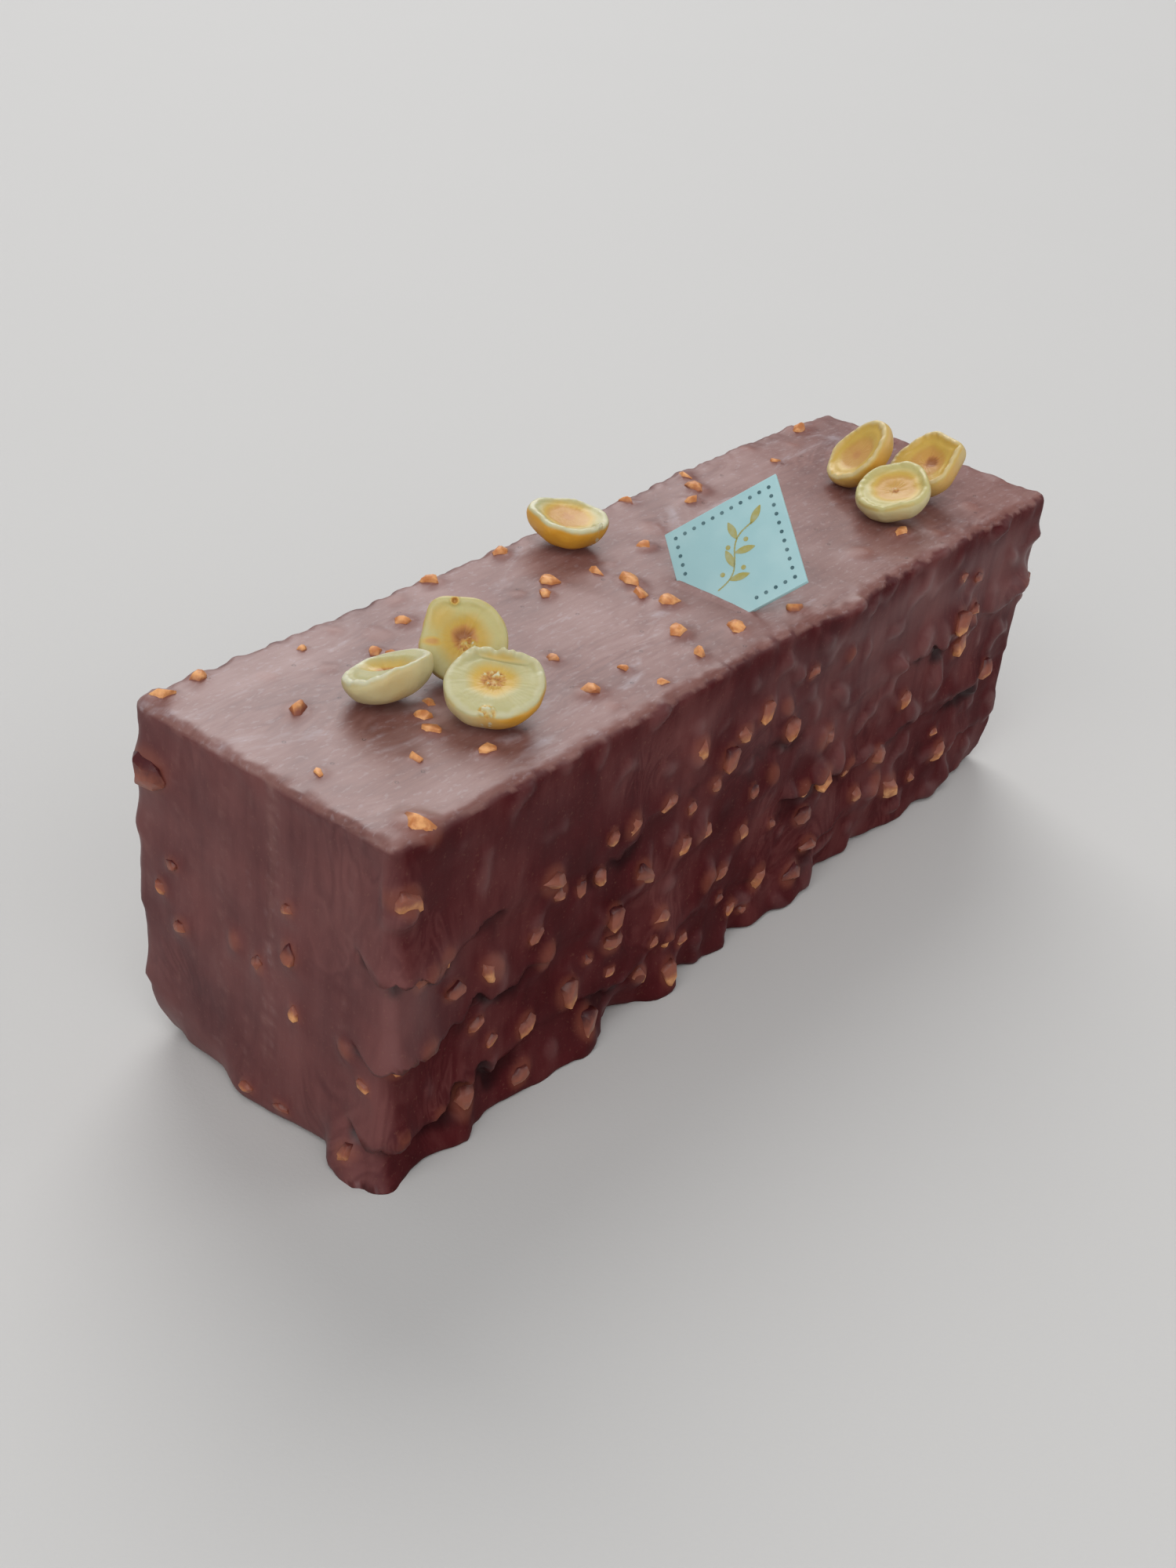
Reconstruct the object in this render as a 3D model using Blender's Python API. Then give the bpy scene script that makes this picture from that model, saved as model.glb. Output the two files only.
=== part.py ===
# Chocolate hazelnut praline cake: a glazed loaf with chopped nuts in its coat,
# seven blanched hazelnut halves and a small lozenge plaque stuck in its top.
# Lengths are in millimetres until a mesh is stored, which is in metres.
# The loaf lies along X and stands on Z = 0, with its origin under its middle.
# The side that is seen in the usual view faces -Y, and the end that is seen faces -X.

import math
import random

import bmesh
import bpy
from mathutils import Matrix, Vector, noise
from mathutils.bvhtree import BVHTree

METRES = 0.001  # one millimetre

# Driving sizes of the loaf
LENGTH = 175.0
WIDTH = 50.0
HEIGHT = 57.5

# Roundness of the loaf's edges
UPRIGHT_EDGE = 2.1
TOP_EDGE = 1.4
BOTTOM_EDGE = 1.5
EDGE_BEND = 0.42  # where an edge is cut once more, as a share of its radius
DRAG_DEPTH = 12.0  # how far in from a wall its relief still moves the skin

FOLD_CUTS = 3.9  # height between the cut lines round the walls

# Slow waves in the glaze
WAVE_LENGTH = 24.0
SIDE_WAVE = 0.65
END_WAVE = 0.52
TOP_WAVE = 0.3
RIPPLE_LENGTH = 9.0
RIPPLE = 0.28
TOP_RIPPLE = 0.14
RIPPLE_SEED = Vector((7, 3, 1))

# Sagging folds across the long sides: each swells downwards and ends in a crease
FOLD_PITCH = 13.2
FOLD_CREASE = 9.2
FOLD_DEPTH = 1.6
FOLD_WANDER = 3.4
FOLD_WANDER_LENGTH = 30.0
FOLD_WANDER_HEIGHT = 60.0
FOLD_ROUNDNESS = 1.4
FOLD_TUCK = 0.16  # the share of a fold's height in which it turns in under its crease
FOLD_PATCH = 21.0  # the size of the patches where folds are deeper or shallower
FOLD_USUAL = 0.55
FOLD_VARIES = 0.9
FOLD_LEAST = 0.12
SIDE_SEED = 5.0  # keeps the two long sides unlike
NEAR_FOLDS = 0.8  # how much deeper the folds are at the near corner
NEAR_FOLDS_TO = -58.0
FOLD_TOP = 47.0
FOLD_FADE = 7.0

# Where the glaze ran out on the tray: (place along the side, reach past the side)
FRONT_FOOT = (
    (-84.9, 0.9), (-79.3, 0.9), (-71.5, 2.8), (-67.0, 0.6), (-60.5, 0.8), (-51.0, 1.7),
    (-46.5, 2.6), (-43.5, 3.3), (-39.0, 1.9), (-36.0, -0.8), (-33.0, -2.4), (-28.0, -0.4),
    (-24.5, 1.6), (-20.5, 2.0), (-16.5, -1.2), (-11.0, 0.5), (-5.0, 1.6), (-1.0, -1.1),
    (4.0, 1.6), (9.5, 1.2), (15.0, 2.2), (21.0, 1.5), (26.0, -2.1), (31.0, -0.6),
    (35.5, 0.2), (39.5, -1.6), (45.0, -0.2), (52.0, 0.4), (60.0, -0.2), (68.0, 0.5),
    (76.0, -0.6), (84.9, -1.8),
)
BACK_FOOT_SHIFT = 10  # the hidden side takes the same reaches, this many places on
BACK_FOOT = tuple(
    (place, FRONT_FOOT[(i + BACK_FOOT_SHIFT) % len(FRONT_FOOT)][1])
    for i, (place, _) in enumerate(FRONT_FOOT)
)
END_FOOT = (
    (-22.4, 0.8), (-20.0, 2.8), (-17.4, 2.5), (-14.0, -1.1), (-8.0, -0.9), (-3.0, 0.1),
    (2.0, 0.7), (8.5, -1.9), (15.0, -1.8), (22.4, -3.0),
)
FOOT_HEIGHT = 11.0
GAP_HEIGHT = 9.0
FOOT_CURVE = 1.7

# The hidden upright edge of the seen end leans in towards its foot
TUCK_DEPTH = 2.6
TUCK_HEIGHT = 30.0
TUCK_LENGTH = 16.0
FAR_END_SWELL = 0.9  # the far end bellies out a little all over

# A swelling of the long top edge that is seen
EDGE_BULGE_AT = 18.0
EDGE_BULGE_HALF = 11.0
EDGE_BULGE_REACH = 1.9
EDGE_BULGE_DROP = 15.0

# Chopped nuts that stand out, measured: (along, across or up, longest size)
FRONT_BITS = (
    (-82.6, 55.6, 4.4), (-85.0, 48.8, 4.0), (-81.2, 34.6, 3.4), (-77.1, 35.4, 3.4), (-67.0, 28.6, 4.0),
    (-54.6, 37.6, 4.2), (-52.4, 34.6, 3.0), (-42.3, 32.2, 2.3), (-38.5, 23.4, 3.4), (-25.3, 16.8, 3.3),
    (-40.7, 38.7, 2.4), (-26.8, 38.6, 3.1), (-57.2, 29.2, 2.6), (-29.0, 7.5, 3.0), (-47.7, 13.7, 4.1),
    (-42.6, 5.6, 4.0), (-21.5, 4.4, 3.8), (-68.4, 18.9, 2.6), (-84.6, 20.7, 3.4), (-70.5, 6.9, 4.7),
    (-76.4, 7.6, 2.6), (-57.2, 12.6, 3.4), (-20.3, 45.6, 4.0), (-11.8, 40.5, 3.6), (-7.9, 43.4, 3.2),
    (-13.6, 36.2, 2.8), (-2.8, 45.5, 3.3), (-15.7, 28.2, 3.1), (-3.7, 22.8, 3.1), (18.1, 32.5, 3.8),
    (19.5, 24.0, 4.0), (28.9, 22.2, 3.4), (15.7, 17.5, 3.8), (39.6, 19.8, 4.0), (46.4, 10.6, 4.6),
    (63.2, 11.6, 3.8), (14.6, 6.2, 4.0),
)
TOP_BITS = (
    (-63.0, -8.4, 2.6), (-61.0, -16.8, 2.6), (-73.0, 7.9, 3.3), (-70.0, -11.9, 2.1), (-82.0, -5.8, 2.0),
    (-37.7, -15.9, 3.4), (-26.7, -21.0, 1.9), (-28.1, -14.9, 1.9), (-15.5, -19.2, 2.7), (-12.5, -13.5, 3.6),
    (-7.1, -1.6, 2.9), (-5.2, -6.2, 3.6), (-3.7, -18.5, 3.4), (9.2, -20.6, 2.9), (-42.6, 16.3, 3.0),
    (-84.2, 22.6, 3.4), (-77.3, 22.8, 3.0), (-60.3, 19.9, 1.9), (-29.5, 22.8, 3.2), (-13.3, 22.4, 3.1),
    (8.0, 8.8, 2.9), (48.5, -16.4, 3.8), (20.3, 22.6, 2.7), (-18.7, 8.2, 2.6),
)
END_BITS = (
    (21.6, 48.0, 6.0), (16.7, 34.0, 1.9), (18.4, 29.2, 2.1), (14.6, 24.3, 2.6), (-6.4, 38.4, 2.2),
    (-7.3, 31.6, 2.9), (-8.6, 22.0, 2.1), (-19.6, 4.4, 3.0),
)

# The other chopped nuts are strewn by a rule
STREW_SEED = 7
STREWN_FRONT = 44
STREWN_BACK = 58
STREWN_TOP = 28
STREWN_END = 6
STREWN_FAR_END = 15
STREW_TRIES = 40
STREW_FROM_ENDS = 2.5
STREW_FROM_FLOOR = 3.0
STREW_TO_EDGE = 1.5  # over 1: more of the top's bits lie near its far edge
BIT_SPACING = 4.3
BIT_SMALL = 1.9
BIT_LARGE = 4.1
SMALL_ONES = 1.6  # over 1: more of the bits are small
BIT_PLUMP = (0.66, 0.5, 0.4)  # half axes as shares of the longest size
ROUNDED_BITS_FROM = 2.8  # the largest bits have more faces
BLOCK_SHARE = 0.72  # half side of a blocky bit, before it is scaled
BIT_JITTER = 0.2
BIT_PROUD = 0.4  # how far a bit stands out, as a share of its size
BIT_TILT = 0.45
BIT_CLEAR_OF_FLOOR = 0.35
BARE_BAND = 8.0  # depth of the strip below the top edges that few bits reach
BARE_NEAR = 18.0  # its depth along the front's near stretch
BARE_NEAR_TO = -25.0  # where that stretch ends

# Hazelnut halves: (x, y, radius, tilt, way it tilts, pointed end, ovalness)
HALVES = (
    (-49.2, -1.2, 6.5, 51, -141, 128, 0.02),
    (-61.4, 1.9, 6.3, 20, 105, -40, 0.04),
    (-54.2, -11.3, 7.1, 17, -150, 70, 0.03),
    (-1.4, 18.0, 6.6, 8, -73, 110, 0.07),
    (59.9, 1.2, 6.6, 46, 143, 100, 0.04),
    (66.0, -9.2, 7.1, 42, 158, 60, 0.03),
    (52.9, -11.2, 6.7, 22, 162, 110, 0.02),
)
# A half's section from the middle of its cut face, over the rim, to the foot of its
# back: (share of the radius outwards, share of the radius upwards)
HALF_SECTION = (
    (0.0, -0.25), (0.18, -0.21), (0.36, -0.06), (0.86, 0.0), (0.96, -0.03), (1.0, -0.13),
    (0.97, -0.32), (0.86, -0.53), (0.65, -0.69), (0.35, -0.77), (0.0, -0.8),
)
HALF_SIDES = 16
HALF_TIP = 0.09
HALF_TIP_SHARPNESS = 5
GAP = 0.3  # left between pieces that touch
SLIVER = 0.004  # faces thinner than this are closed up after joining

# Lozenge plaque, planted by its lowest corner
PLAQUE_CENTRE = Vector((7.35, -9.35, 62.9))
PLAQUE_UP = Vector((0.676, 0.080, 0.7325))
PLAQUE_RIGHT = Vector((0.040, -0.996, 0.073))
PLAQUE_HALF_HEIGHT = 15.5
PLAQUE_HALF_WIDTH = 13.7
PLAQUE_THICKNESS = 0.8
SLOT_CORNER_ROOM = 1.5  # the slot's outline grows by this many gaps
WATERLINE_DOWN = 7.4  # from the plaque's centre to where it enters the top
WATERLINE_HALF = 7.0  # half the width of the plaque there
PLAQUE_KEEP_CLEAR = 3.4

GLAZE_BROWN = (0.105, 0.042, 0.034, 1)
NUT_CREAM = (0.62, 0.50, 0.25, 1)
PLAQUE_AQUA = (0.40, 0.58, 0.58, 1)


def clear_scene():
    for old in list(bpy.data.objects):
        bpy.data.objects.remove(old, do_unlink=True)


def new_collection(name):
    made = bpy.data.collections.new(name)
    bpy.context.scene.collection.children.link(made)
    return made


def new_material(name, colour, roughness):
    made = bpy.data.materials.new(name)
    made.use_nodes = True
    shader = made.node_tree.nodes["Principled BSDF"]
    shader.inputs["Base Color"].default_value = colour
    shader.inputs["Roughness"].default_value = roughness
    shader.inputs["Metallic"].default_value = 0
    return made


def stored(bm, name, collection, material=None):
    """The bmesh as an object, scaled from millimetres to metres."""
    bmesh.ops.scale(bm, vec=Vector((METRES, METRES, METRES)), verts=bm.verts)
    mesh = bpy.data.meshes.new(name)
    bm.to_mesh(mesh)
    bm.free()
    made = bpy.data.objects.new(name, mesh)
    collection.objects.link(made)
    if material:
        mesh.materials.append(material)
    return made


def smooth_step(low, high, value):
    share = min(1.0, max(0.0, (value - low) / (high - low)))
    return share * share * (3 - 2 * share)


def along_line(line, place):
    """The second value of a line of pairs, read smoothly at a place."""
    if place <= line[0][0]:
        return line[0][1]
    for (start, first), (end, last) in zip(line, line[1:]):
        if place <= end:
            return first + (last - first) * smooth_step(start, end, place)
    return line[-1][1]


def foot(reach, z):
    height = FOOT_HEIGHT if reach > 0 else GAP_HEIGHT
    return reach * max(0.0, 1 - z / height) ** FOOT_CURVE


def folds(x, z, side):
    """Sagging folds: the glaze swells down to each crease and tucks in under it."""
    wander = noise.noise(Vector((x / FOLD_WANDER_LENGTH, SIDE_SEED * side, z / FOLD_WANDER_HEIGHT)))
    level = (z - FOLD_CREASE + FOLD_WANDER * wander) / FOLD_PITCH
    above = level - math.floor(level)
    swell = (1 - above) ** FOLD_ROUNDNESS * smooth_step(0.0, FOLD_TUCK, above)
    patchy = noise.noise(Vector((x / FOLD_PATCH, SIDE_SEED * side, z / FOLD_PATCH)))
    patch = FOLD_USUAL + FOLD_VARIES * patchy
    patch += NEAR_FOLDS * (1 - smooth_step(-LENGTH / 2, NEAR_FOLDS_TO, x))
    fade = 1 - smooth_step(FOLD_TOP - FOLD_FADE, FOLD_TOP, z)
    return FOLD_DEPTH * swell * max(FOLD_LEAST, patch) * fade


def waves(point):
    slow = noise.noise(point / WAVE_LENGTH)
    quick = noise.noise(point / RIPPLE_LENGTH + RIPPLE_SEED)
    return slow, quick


def side_relief(point, side):
    """How far the glaze stands out of a long side."""
    x, z = point.x, point.z
    slow, quick = waves(point)
    line = FRONT_FOOT
    if side > 0:
        line = BACK_FOOT
    out = SIDE_WAVE * slow + RIPPLE * quick + folds(x, z, side) + foot(along_line(line, x), z)
    if side < 0:
        off = abs(x - EDGE_BULGE_AT) / EDGE_BULGE_HALF
        drop = smooth_step(HEIGHT - EDGE_BULGE_DROP, HEIGHT - TOP_EDGE, z)
        out += EDGE_BULGE_REACH * drop * (1 - smooth_step(0, 1, off))
    else:
        from_end = smooth_step(0, TUCK_LENGTH, x + LENGTH / 2)
        out -= TUCK_DEPTH * (1 - from_end) * max(0.0, 1 - z / TUCK_HEIGHT)
    return out


def end_relief(point, end):
    """How far the glaze stands out of an end."""
    slow, quick = waves(point)
    reach = along_line(END_FOOT, -end * point.y)
    swell = FAR_END_SWELL if end > 0 else 0
    return END_WAVE * slow + RIPPLE * quick + foot(reach, point.z) + swell


def near_wall(place, half):
    """How much a wall's relief drags a point: fully at the wall, less further in."""
    return math.copysign(smooth_step(half - DRAG_DEPTH, half - UPRIGHT_EDGE, abs(place)), place)


def on_loaf(box_point):
    """The place on the glazed loaf of a point on its plain box, and the way out."""
    edge = BOTTOM_EDGE if box_point.z < HEIGHT / 2 else TOP_EDGE
    radii = Vector((UPRIGHT_EDGE, UPRIGHT_EDGE, edge))
    low = Vector((-LENGTH / 2, -WIDTH / 2, 0)) + radii
    high = Vector((LENGTH / 2, WIDTH / 2, HEIGHT)) - radii
    core = Vector(min(max(box_point[i], low[i]), high[i]) for i in range(3))
    out = Vector((box_point[i] - core[i]) / radii[i] for i in range(3)).normalized()
    rounded = core + Vector(out[i] * radii[i] for i in range(3))
    slow, quick = waves(rounded)
    at_end = near_wall(box_point.x, LENGTH / 2)
    at_side = near_wall(box_point.y, WIDTH / 2)
    at_top = smooth_step(HEIGHT - DRAG_DEPTH, HEIGHT, rounded.z)
    shift = Vector((0, 0, at_top * (TOP_WAVE * slow + TOP_RIPPLE * quick)))
    if at_end:
        shift.x = at_end * end_relief(rounded, math.copysign(1, at_end))
    if at_side:
        shift.y = at_side * side_relief(rounded, math.copysign(1, at_side))
    return rounded + shift, out


def cut_places(line, half, edge):
    """Where the skin is cut across one axis: at the line's places and in both edges."""
    bend = half - edge * EDGE_BEND
    return [-bend] + [place for place, _ in line] + [bend]


def even_places(low, high, pitch, low_edge, high_edge):
    count = round((high - high_edge - low - low_edge) / pitch)
    step = (high - high_edge - low - low_edge) / count
    inner = [low + low_edge + step * i for i in range(count + 1)]
    return [low + low_edge * EDGE_BEND] + inner + [high - high_edge * EDGE_BEND]


def loaf_mesh():
    """A cube cut into strips, with every corner of its skin moved on to the loaf."""
    bm = bmesh.new()
    bmesh.ops.create_cube(bm, size=1)
    bmesh.ops.translate(bm, vec=Vector((0, 0, 0.5)), verts=bm.verts)
    bmesh.ops.scale(bm, vec=Vector((LENGTH, WIDTH, HEIGHT)), verts=bm.verts)
    cuts = (
        cut_places(FRONT_FOOT, LENGTH / 2, UPRIGHT_EDGE),
        cut_places(END_FOOT, WIDTH / 2, UPRIGHT_EDGE),
        even_places(0, HEIGHT, FOLD_CUTS, BOTTOM_EDGE, TOP_EDGE),
    )
    for axis, places in enumerate(cuts):
        normal = Vector((0, 0, 0))
        normal[axis] = 1
        for place in places:
            everything = list(bm.verts) + list(bm.edges) + list(bm.faces)
            bmesh.ops.bisect_plane(bm, geom=everything, plane_co=normal * place, plane_no=normal)
    for vert in bm.verts:
        vert.co = on_loaf(vert.co)[0]
    under = [face for face in bm.faces if all(abs(vert.co.z) < 1e-6 for vert in face.verts)]
    bmesh.ops.dissolve_faces(bm, faces=under)
    return bm


def bit_mesh(spot, way_out, size, blocky, draw):
    """One chopped piece of nut, partly sunk where it lies."""
    bm = bmesh.new()
    if blocky:
        bmesh.ops.create_cube(bm, size=2 * BLOCK_SHARE)
    else:
        bmesh.ops.create_icosphere(bm, subdivisions=1, radius=1)
    for vert in bm.verts:
        vert.co *= 1 + draw.uniform(-BIT_JITTER, BIT_JITTER)
    half = Vector(BIT_PLUMP) * size
    bmesh.ops.scale(bm, vec=half, verts=bm.verts)
    turn = way_out.to_track_quat("Z", "Y").to_matrix()
    tilt = Matrix.Rotation(draw.uniform(-BIT_TILT, BIT_TILT), 3, "X")
    spin = Matrix.Rotation(draw.uniform(0, math.pi), 3, "Z")
    bmesh.ops.rotate(bm, cent=Vector(), matrix=turn @ spin @ tilt, verts=bm.verts)
    seat = spot + way_out * (BIT_PROUD * size - half.z)
    bmesh.ops.translate(bm, vec=seat, verts=bm.verts)
    lowest = min(vert.co.z for vert in bm.verts)
    lift = max(0.0, BIT_CLEAR_OF_FLOOR - lowest)
    bmesh.ops.translate(bm, vec=Vector((0, 0, lift)), verts=bm.verts)
    return bm


def clear_of_toppings(spot, size):
    """Whether a bit on the top stays off the hazelnut halves and the plaque."""
    for x, y, radius, *_ in HALVES:
        if math.hypot(spot.x - x, spot.y - y) < radius + size / 2:
            return False
    foot_left = PLAQUE_CENTRE - PLAQUE_UP * WATERLINE_DOWN - PLAQUE_RIGHT * WATERLINE_HALF
    run = (PLAQUE_RIGHT * 2 * WATERLINE_HALF).to_2d()
    share = (spot.to_2d() - foot_left.to_2d()).dot(run) / run.length_squared
    nearest = foot_left.to_2d() + run * min(1.0, max(0.0, share))
    return (spot.to_2d() - nearest).length > PLAQUE_KEEP_CLEAR


def box_places():
    """Each face of the box: how it turns two face coordinates into a point."""
    return {
        "front": lambda along, up: Vector((along, -WIDTH / 2, up)),
        "back": lambda along, up: Vector((along, WIDTH / 2, up)),
        "end": lambda along, up: Vector((-LENGTH / 2, along, up)),
        "far_end": lambda along, up: Vector((LENGTH / 2, along, up)),
        "top": lambda along, across: Vector((along, across, HEIGHT)),
    }


def strewn_bits():
    """(place, way out, size, whether blocky) of every chopped piece, the same each time."""
    draw = random.Random(STREW_SEED)
    places = box_places()
    bits = []

    def add(face, first, second, size, blocky):
        spot, way_out = on_loaf(places[face](first, second))
        bits.append((spot, way_out, size, blocky))

    for face, measured in (("front", FRONT_BITS), ("top", TOP_BITS), ("end", END_BITS)):
        for first, second, size in measured:
            add(face, first, second, size, size < ROUNDED_BITS_FROM)
    counts = (
        ("front", STREWN_FRONT, LENGTH), ("back", STREWN_BACK, LENGTH), ("end", STREWN_END, WIDTH),
        ("far_end", STREWN_FAR_END, WIDTH), ("top", STREWN_TOP, LENGTH),
    )
    for face, count, run in counts:
        for _ in range(count):
            for _ in range(STREW_TRIES):
                size = BIT_SMALL + (BIT_LARGE - BIT_SMALL) * draw.random() ** SMALL_ONES
                first = draw.uniform(-1, 1) * (run / 2 - STREW_FROM_ENDS)
                if face == "top":
                    across = 1 - 2 * draw.random() ** STREW_TO_EDGE
                    second = across * (WIDTH / 2 - STREW_FROM_ENDS)
                else:
                    bare = BARE_NEAR if face == "front" and first < BARE_NEAR_TO else BARE_BAND
                    second = STREW_FROM_FLOOR + (HEIGHT - bare - STREW_FROM_FLOOR) * draw.random()
                spot = on_loaf(places[face](first, second))[0]
                near = min((spot - other).length for other, *_ in bits)
                if near > BIT_SPACING and (face != "top" or clear_of_toppings(spot, size)):
                    add(face, first, second, size, True)
                    break
    return bits


def apply_modifiers(obj):
    """Stores the object's evaluated mesh in it and drops its modifiers."""
    graph = bpy.context.evaluated_depsgraph_get()
    mesh = bpy.data.meshes.new_from_object(obj.evaluated_get(graph))
    obj.modifiers.clear()
    obj.data = mesh


def keep_outer_skin(obj):
    """Drops the tiny shells that joining can leave: sealed pockets and loose scraps."""
    bm = bmesh.new()
    bm.from_mesh(obj.data)
    bmesh.ops.triangulate(bm, faces=bm.faces)
    bmesh.ops.dissolve_degenerate(bm, dist=SLIVER * METRES, edges=bm.edges)
    left = set(bm.faces)
    shells = []
    while left:
        shell = set()
        front = {left.pop()}
        while front:
            shell |= front
            rims = {edge for face in front for edge in face.edges if len(edge.link_faces) == 2}
            front = {face for edge in rims for face in edge.link_faces} - shell
        left -= shell
        shells.append(shell)
    outer = max(shells, key=len)
    bmesh.ops.delete(bm, geom=[face for face in bm.faces if face not in outer], context="FACES")
    bm.to_mesh(obj.data)
    bm.free()


def make_plaque(collection, material, name, grow=0.0):
    """A flat lozenge, standing in the top. A cutter for its slot grows on every side."""
    curve = bpy.data.curves.new(name, "CURVE")
    curve.dimensions = "2D"
    curve.fill_mode = "BOTH"
    curve.extrude = (PLAQUE_THICKNESS / 2 + grow) * METRES
    spline = curve.splines.new("POLY")
    spline.points.add(3)
    tall = (PLAQUE_HALF_HEIGHT + grow * SLOT_CORNER_ROOM) * METRES
    wide = (PLAQUE_HALF_WIDTH + grow * SLOT_CORNER_ROOM) * METRES
    for point, corner in zip(spline.points, ((wide, 0), (0, tall), (-wide, 0), (0, -tall))):
        point.co = (corner[0], corner[1], 0, 1)
    spline.use_cyclic_u = True
    made = bpy.data.objects.new(name, curve)
    collection.objects.link(made)
    up = PLAQUE_UP.normalized()
    right = (PLAQUE_RIGHT - up * PLAQUE_RIGHT.dot(up)).normalized()
    turn = Matrix((right, up, right.cross(up))).transposed()
    made.matrix_world = Matrix.Translation(PLAQUE_CENTRE * METRES) @ turn.to_4x4()
    if material:
        curve.materials.append(material)
    return made


def as_cutter(curve_object, collection):
    """The curve object as a closed mesh that only cuts."""
    graph = bpy.context.evaluated_depsgraph_get()
    mesh = bpy.data.meshes.new_from_object(curve_object.evaluated_get(graph))
    bm = bmesh.new()
    bm.from_mesh(mesh)
    bmesh.ops.remove_doubles(bm, verts=bm.verts, dist=1e-7)
    bmesh.ops.recalc_face_normals(bm, faces=bm.faces)
    bm.to_mesh(mesh)
    bm.free()
    made = bpy.data.objects.new(curve_object.name + "_cutter", mesh)
    made.matrix_world = curve_object.matrix_world
    made.hide_render = True
    made.display_type = "WIRE"
    collection.objects.link(made)
    bpy.data.objects.remove(curve_object, do_unlink=True)
    return made


def make_cake(parts, cutters, material):
    """The glazed loaf, with the chopped nuts joined on and the plaque's slot cut."""
    loaf = loaf_mesh()
    skin = BVHTree.FromBMesh(loaf)
    cake = stored(loaf, "glazed_cake", parts, material)
    strewn = new_collection("chopped_nuts")
    draw = random.Random(STREW_SEED)
    for number, (spot, way_out, size, blocky) in enumerate(strewn_bits()):
        seat = skin.find_nearest(spot)[0]
        stored(bit_mesh(seat, way_out, size, blocky, draw), f"bit_{number}", strewn)
    join = cake.modifiers.new("join_bits", "BOOLEAN")
    join.operation = "UNION"
    join.operand_type = "COLLECTION"
    join.collection = strewn
    join.solver = "MANIFOLD"
    apply_modifiers(cake)
    for bit in list(strewn.objects):
        bpy.data.objects.remove(bit, do_unlink=True)
    bpy.data.collections.remove(strewn)
    slot = as_cutter(make_plaque(cutters, None, "slot", GAP), cutters)
    cut = cake.modifiers.new("cut_slot", "BOOLEAN")
    cut.operation = "DIFFERENCE"
    cut.object = slot
    cut.solver = "MANIFOLD"
    apply_modifiers(cake)
    keep_outer_skin(cake)
    return cake


def half_mesh(radius, tip_at, oval):
    """A sphere whose rings follow the section of a halved nut, cut face up."""
    bm = bmesh.new()
    rings = len(HALF_SECTION) - 1
    bmesh.ops.create_uvsphere(bm, u_segments=HALF_SIDES, v_segments=rings, radius=1)
    for vert in bm.verts:
        ring = round(math.acos(max(-1.0, min(1.0, vert.co.z))) / math.pi * rings)
        outwards, upwards = HALF_SECTION[ring]
        turn = math.atan2(vert.co.y, vert.co.x)
        from_tip = turn - math.radians(tip_at)
        tip = HALF_TIP * max(0.0, math.cos(from_tip)) ** HALF_TIP_SHARPNESS
        outline = radius * (1 + tip + oval * math.cos(2 * from_tip))
        level = upwards * radius
        vert.co = (outline * outwards * math.cos(turn), outline * outwards * math.sin(turn), level)
    return bm


def lean(tilt, toward):
    """Turns a cut face that looks up until it tilts: its own +Y stays uphill."""
    slope, bearing = math.radians(tilt), math.radians(toward)
    face = Vector((math.sin(slope) * math.cos(bearing), math.sin(slope) * math.sin(bearing), math.cos(slope)))
    uphill = (Vector((0, 0, 1)) - face * face.z).normalized()
    return Matrix((uphill.cross(face), uphill, face)).transposed()


def settle(bm, skin):
    """Lowers a piece until it all but touches the skin below."""
    room = []
    for vert in bm.verts:
        hit = skin.ray_cast(vert.co, Vector((0, 0, -1)))
        if hit[0]:
            room.append(hit[3])
    bmesh.ops.translate(bm, vec=Vector((0, 0, GAP - min(room))), verts=bm.verts)


def make_halves(parts, cake, material):
    skin_mesh = bmesh.new()
    skin_mesh.from_mesh(cake.data)
    bmesh.ops.scale(skin_mesh, vec=Vector((1, 1, 1)) / METRES, verts=skin_mesh.verts)
    skin = BVHTree.FromBMesh(skin_mesh)
    for number, (x, y, radius, tilt, toward, tip_at, oval) in enumerate(HALVES, 1):
        bm = half_mesh(radius, tip_at, oval)
        bmesh.ops.rotate(bm, cent=Vector(), matrix=lean(tilt, toward), verts=bm.verts)
        bmesh.ops.translate(bm, vec=Vector((x, y, HEIGHT + 4 * radius)), verts=bm.verts)
        settle(bm, skin)
        half = stored(bm, f"hazelnut_half_{number}", parts, material)
        half.data.shade_smooth()
    skin_mesh.free()


clear_scene()
cake_parts = new_collection("praline_cake")
cake_cutters = new_collection("cutters")
cake_object = make_cake(cake_parts, cake_cutters, new_material("glaze", GLAZE_BROWN, 0.45))
make_halves(cake_parts, cake_object, new_material("blanched_hazelnut", NUT_CREAM, 0.5))
make_plaque(cake_parts, new_material("plaque", PLAQUE_AQUA, 0.35), "plaque")
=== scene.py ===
import math
import random

import bpy
import numpy as np
from mathutils import Matrix, Vector, kdtree, noise


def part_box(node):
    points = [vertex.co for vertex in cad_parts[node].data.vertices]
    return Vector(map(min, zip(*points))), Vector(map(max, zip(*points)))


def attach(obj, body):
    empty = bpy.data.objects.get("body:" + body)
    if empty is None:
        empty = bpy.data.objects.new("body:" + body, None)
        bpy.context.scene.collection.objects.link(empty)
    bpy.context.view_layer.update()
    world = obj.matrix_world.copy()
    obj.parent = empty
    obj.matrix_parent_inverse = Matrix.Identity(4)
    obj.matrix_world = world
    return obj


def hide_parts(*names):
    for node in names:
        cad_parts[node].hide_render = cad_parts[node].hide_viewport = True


# Chocolate hazelnut praline cake: glazed loaf, chopped nuts, hazelnut halves and plaque.
# Shapes are worked out in millimetres and stored in metres.
# The loaf lies along X, its seen long side faces -Y and its seen end faces -X.

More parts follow.
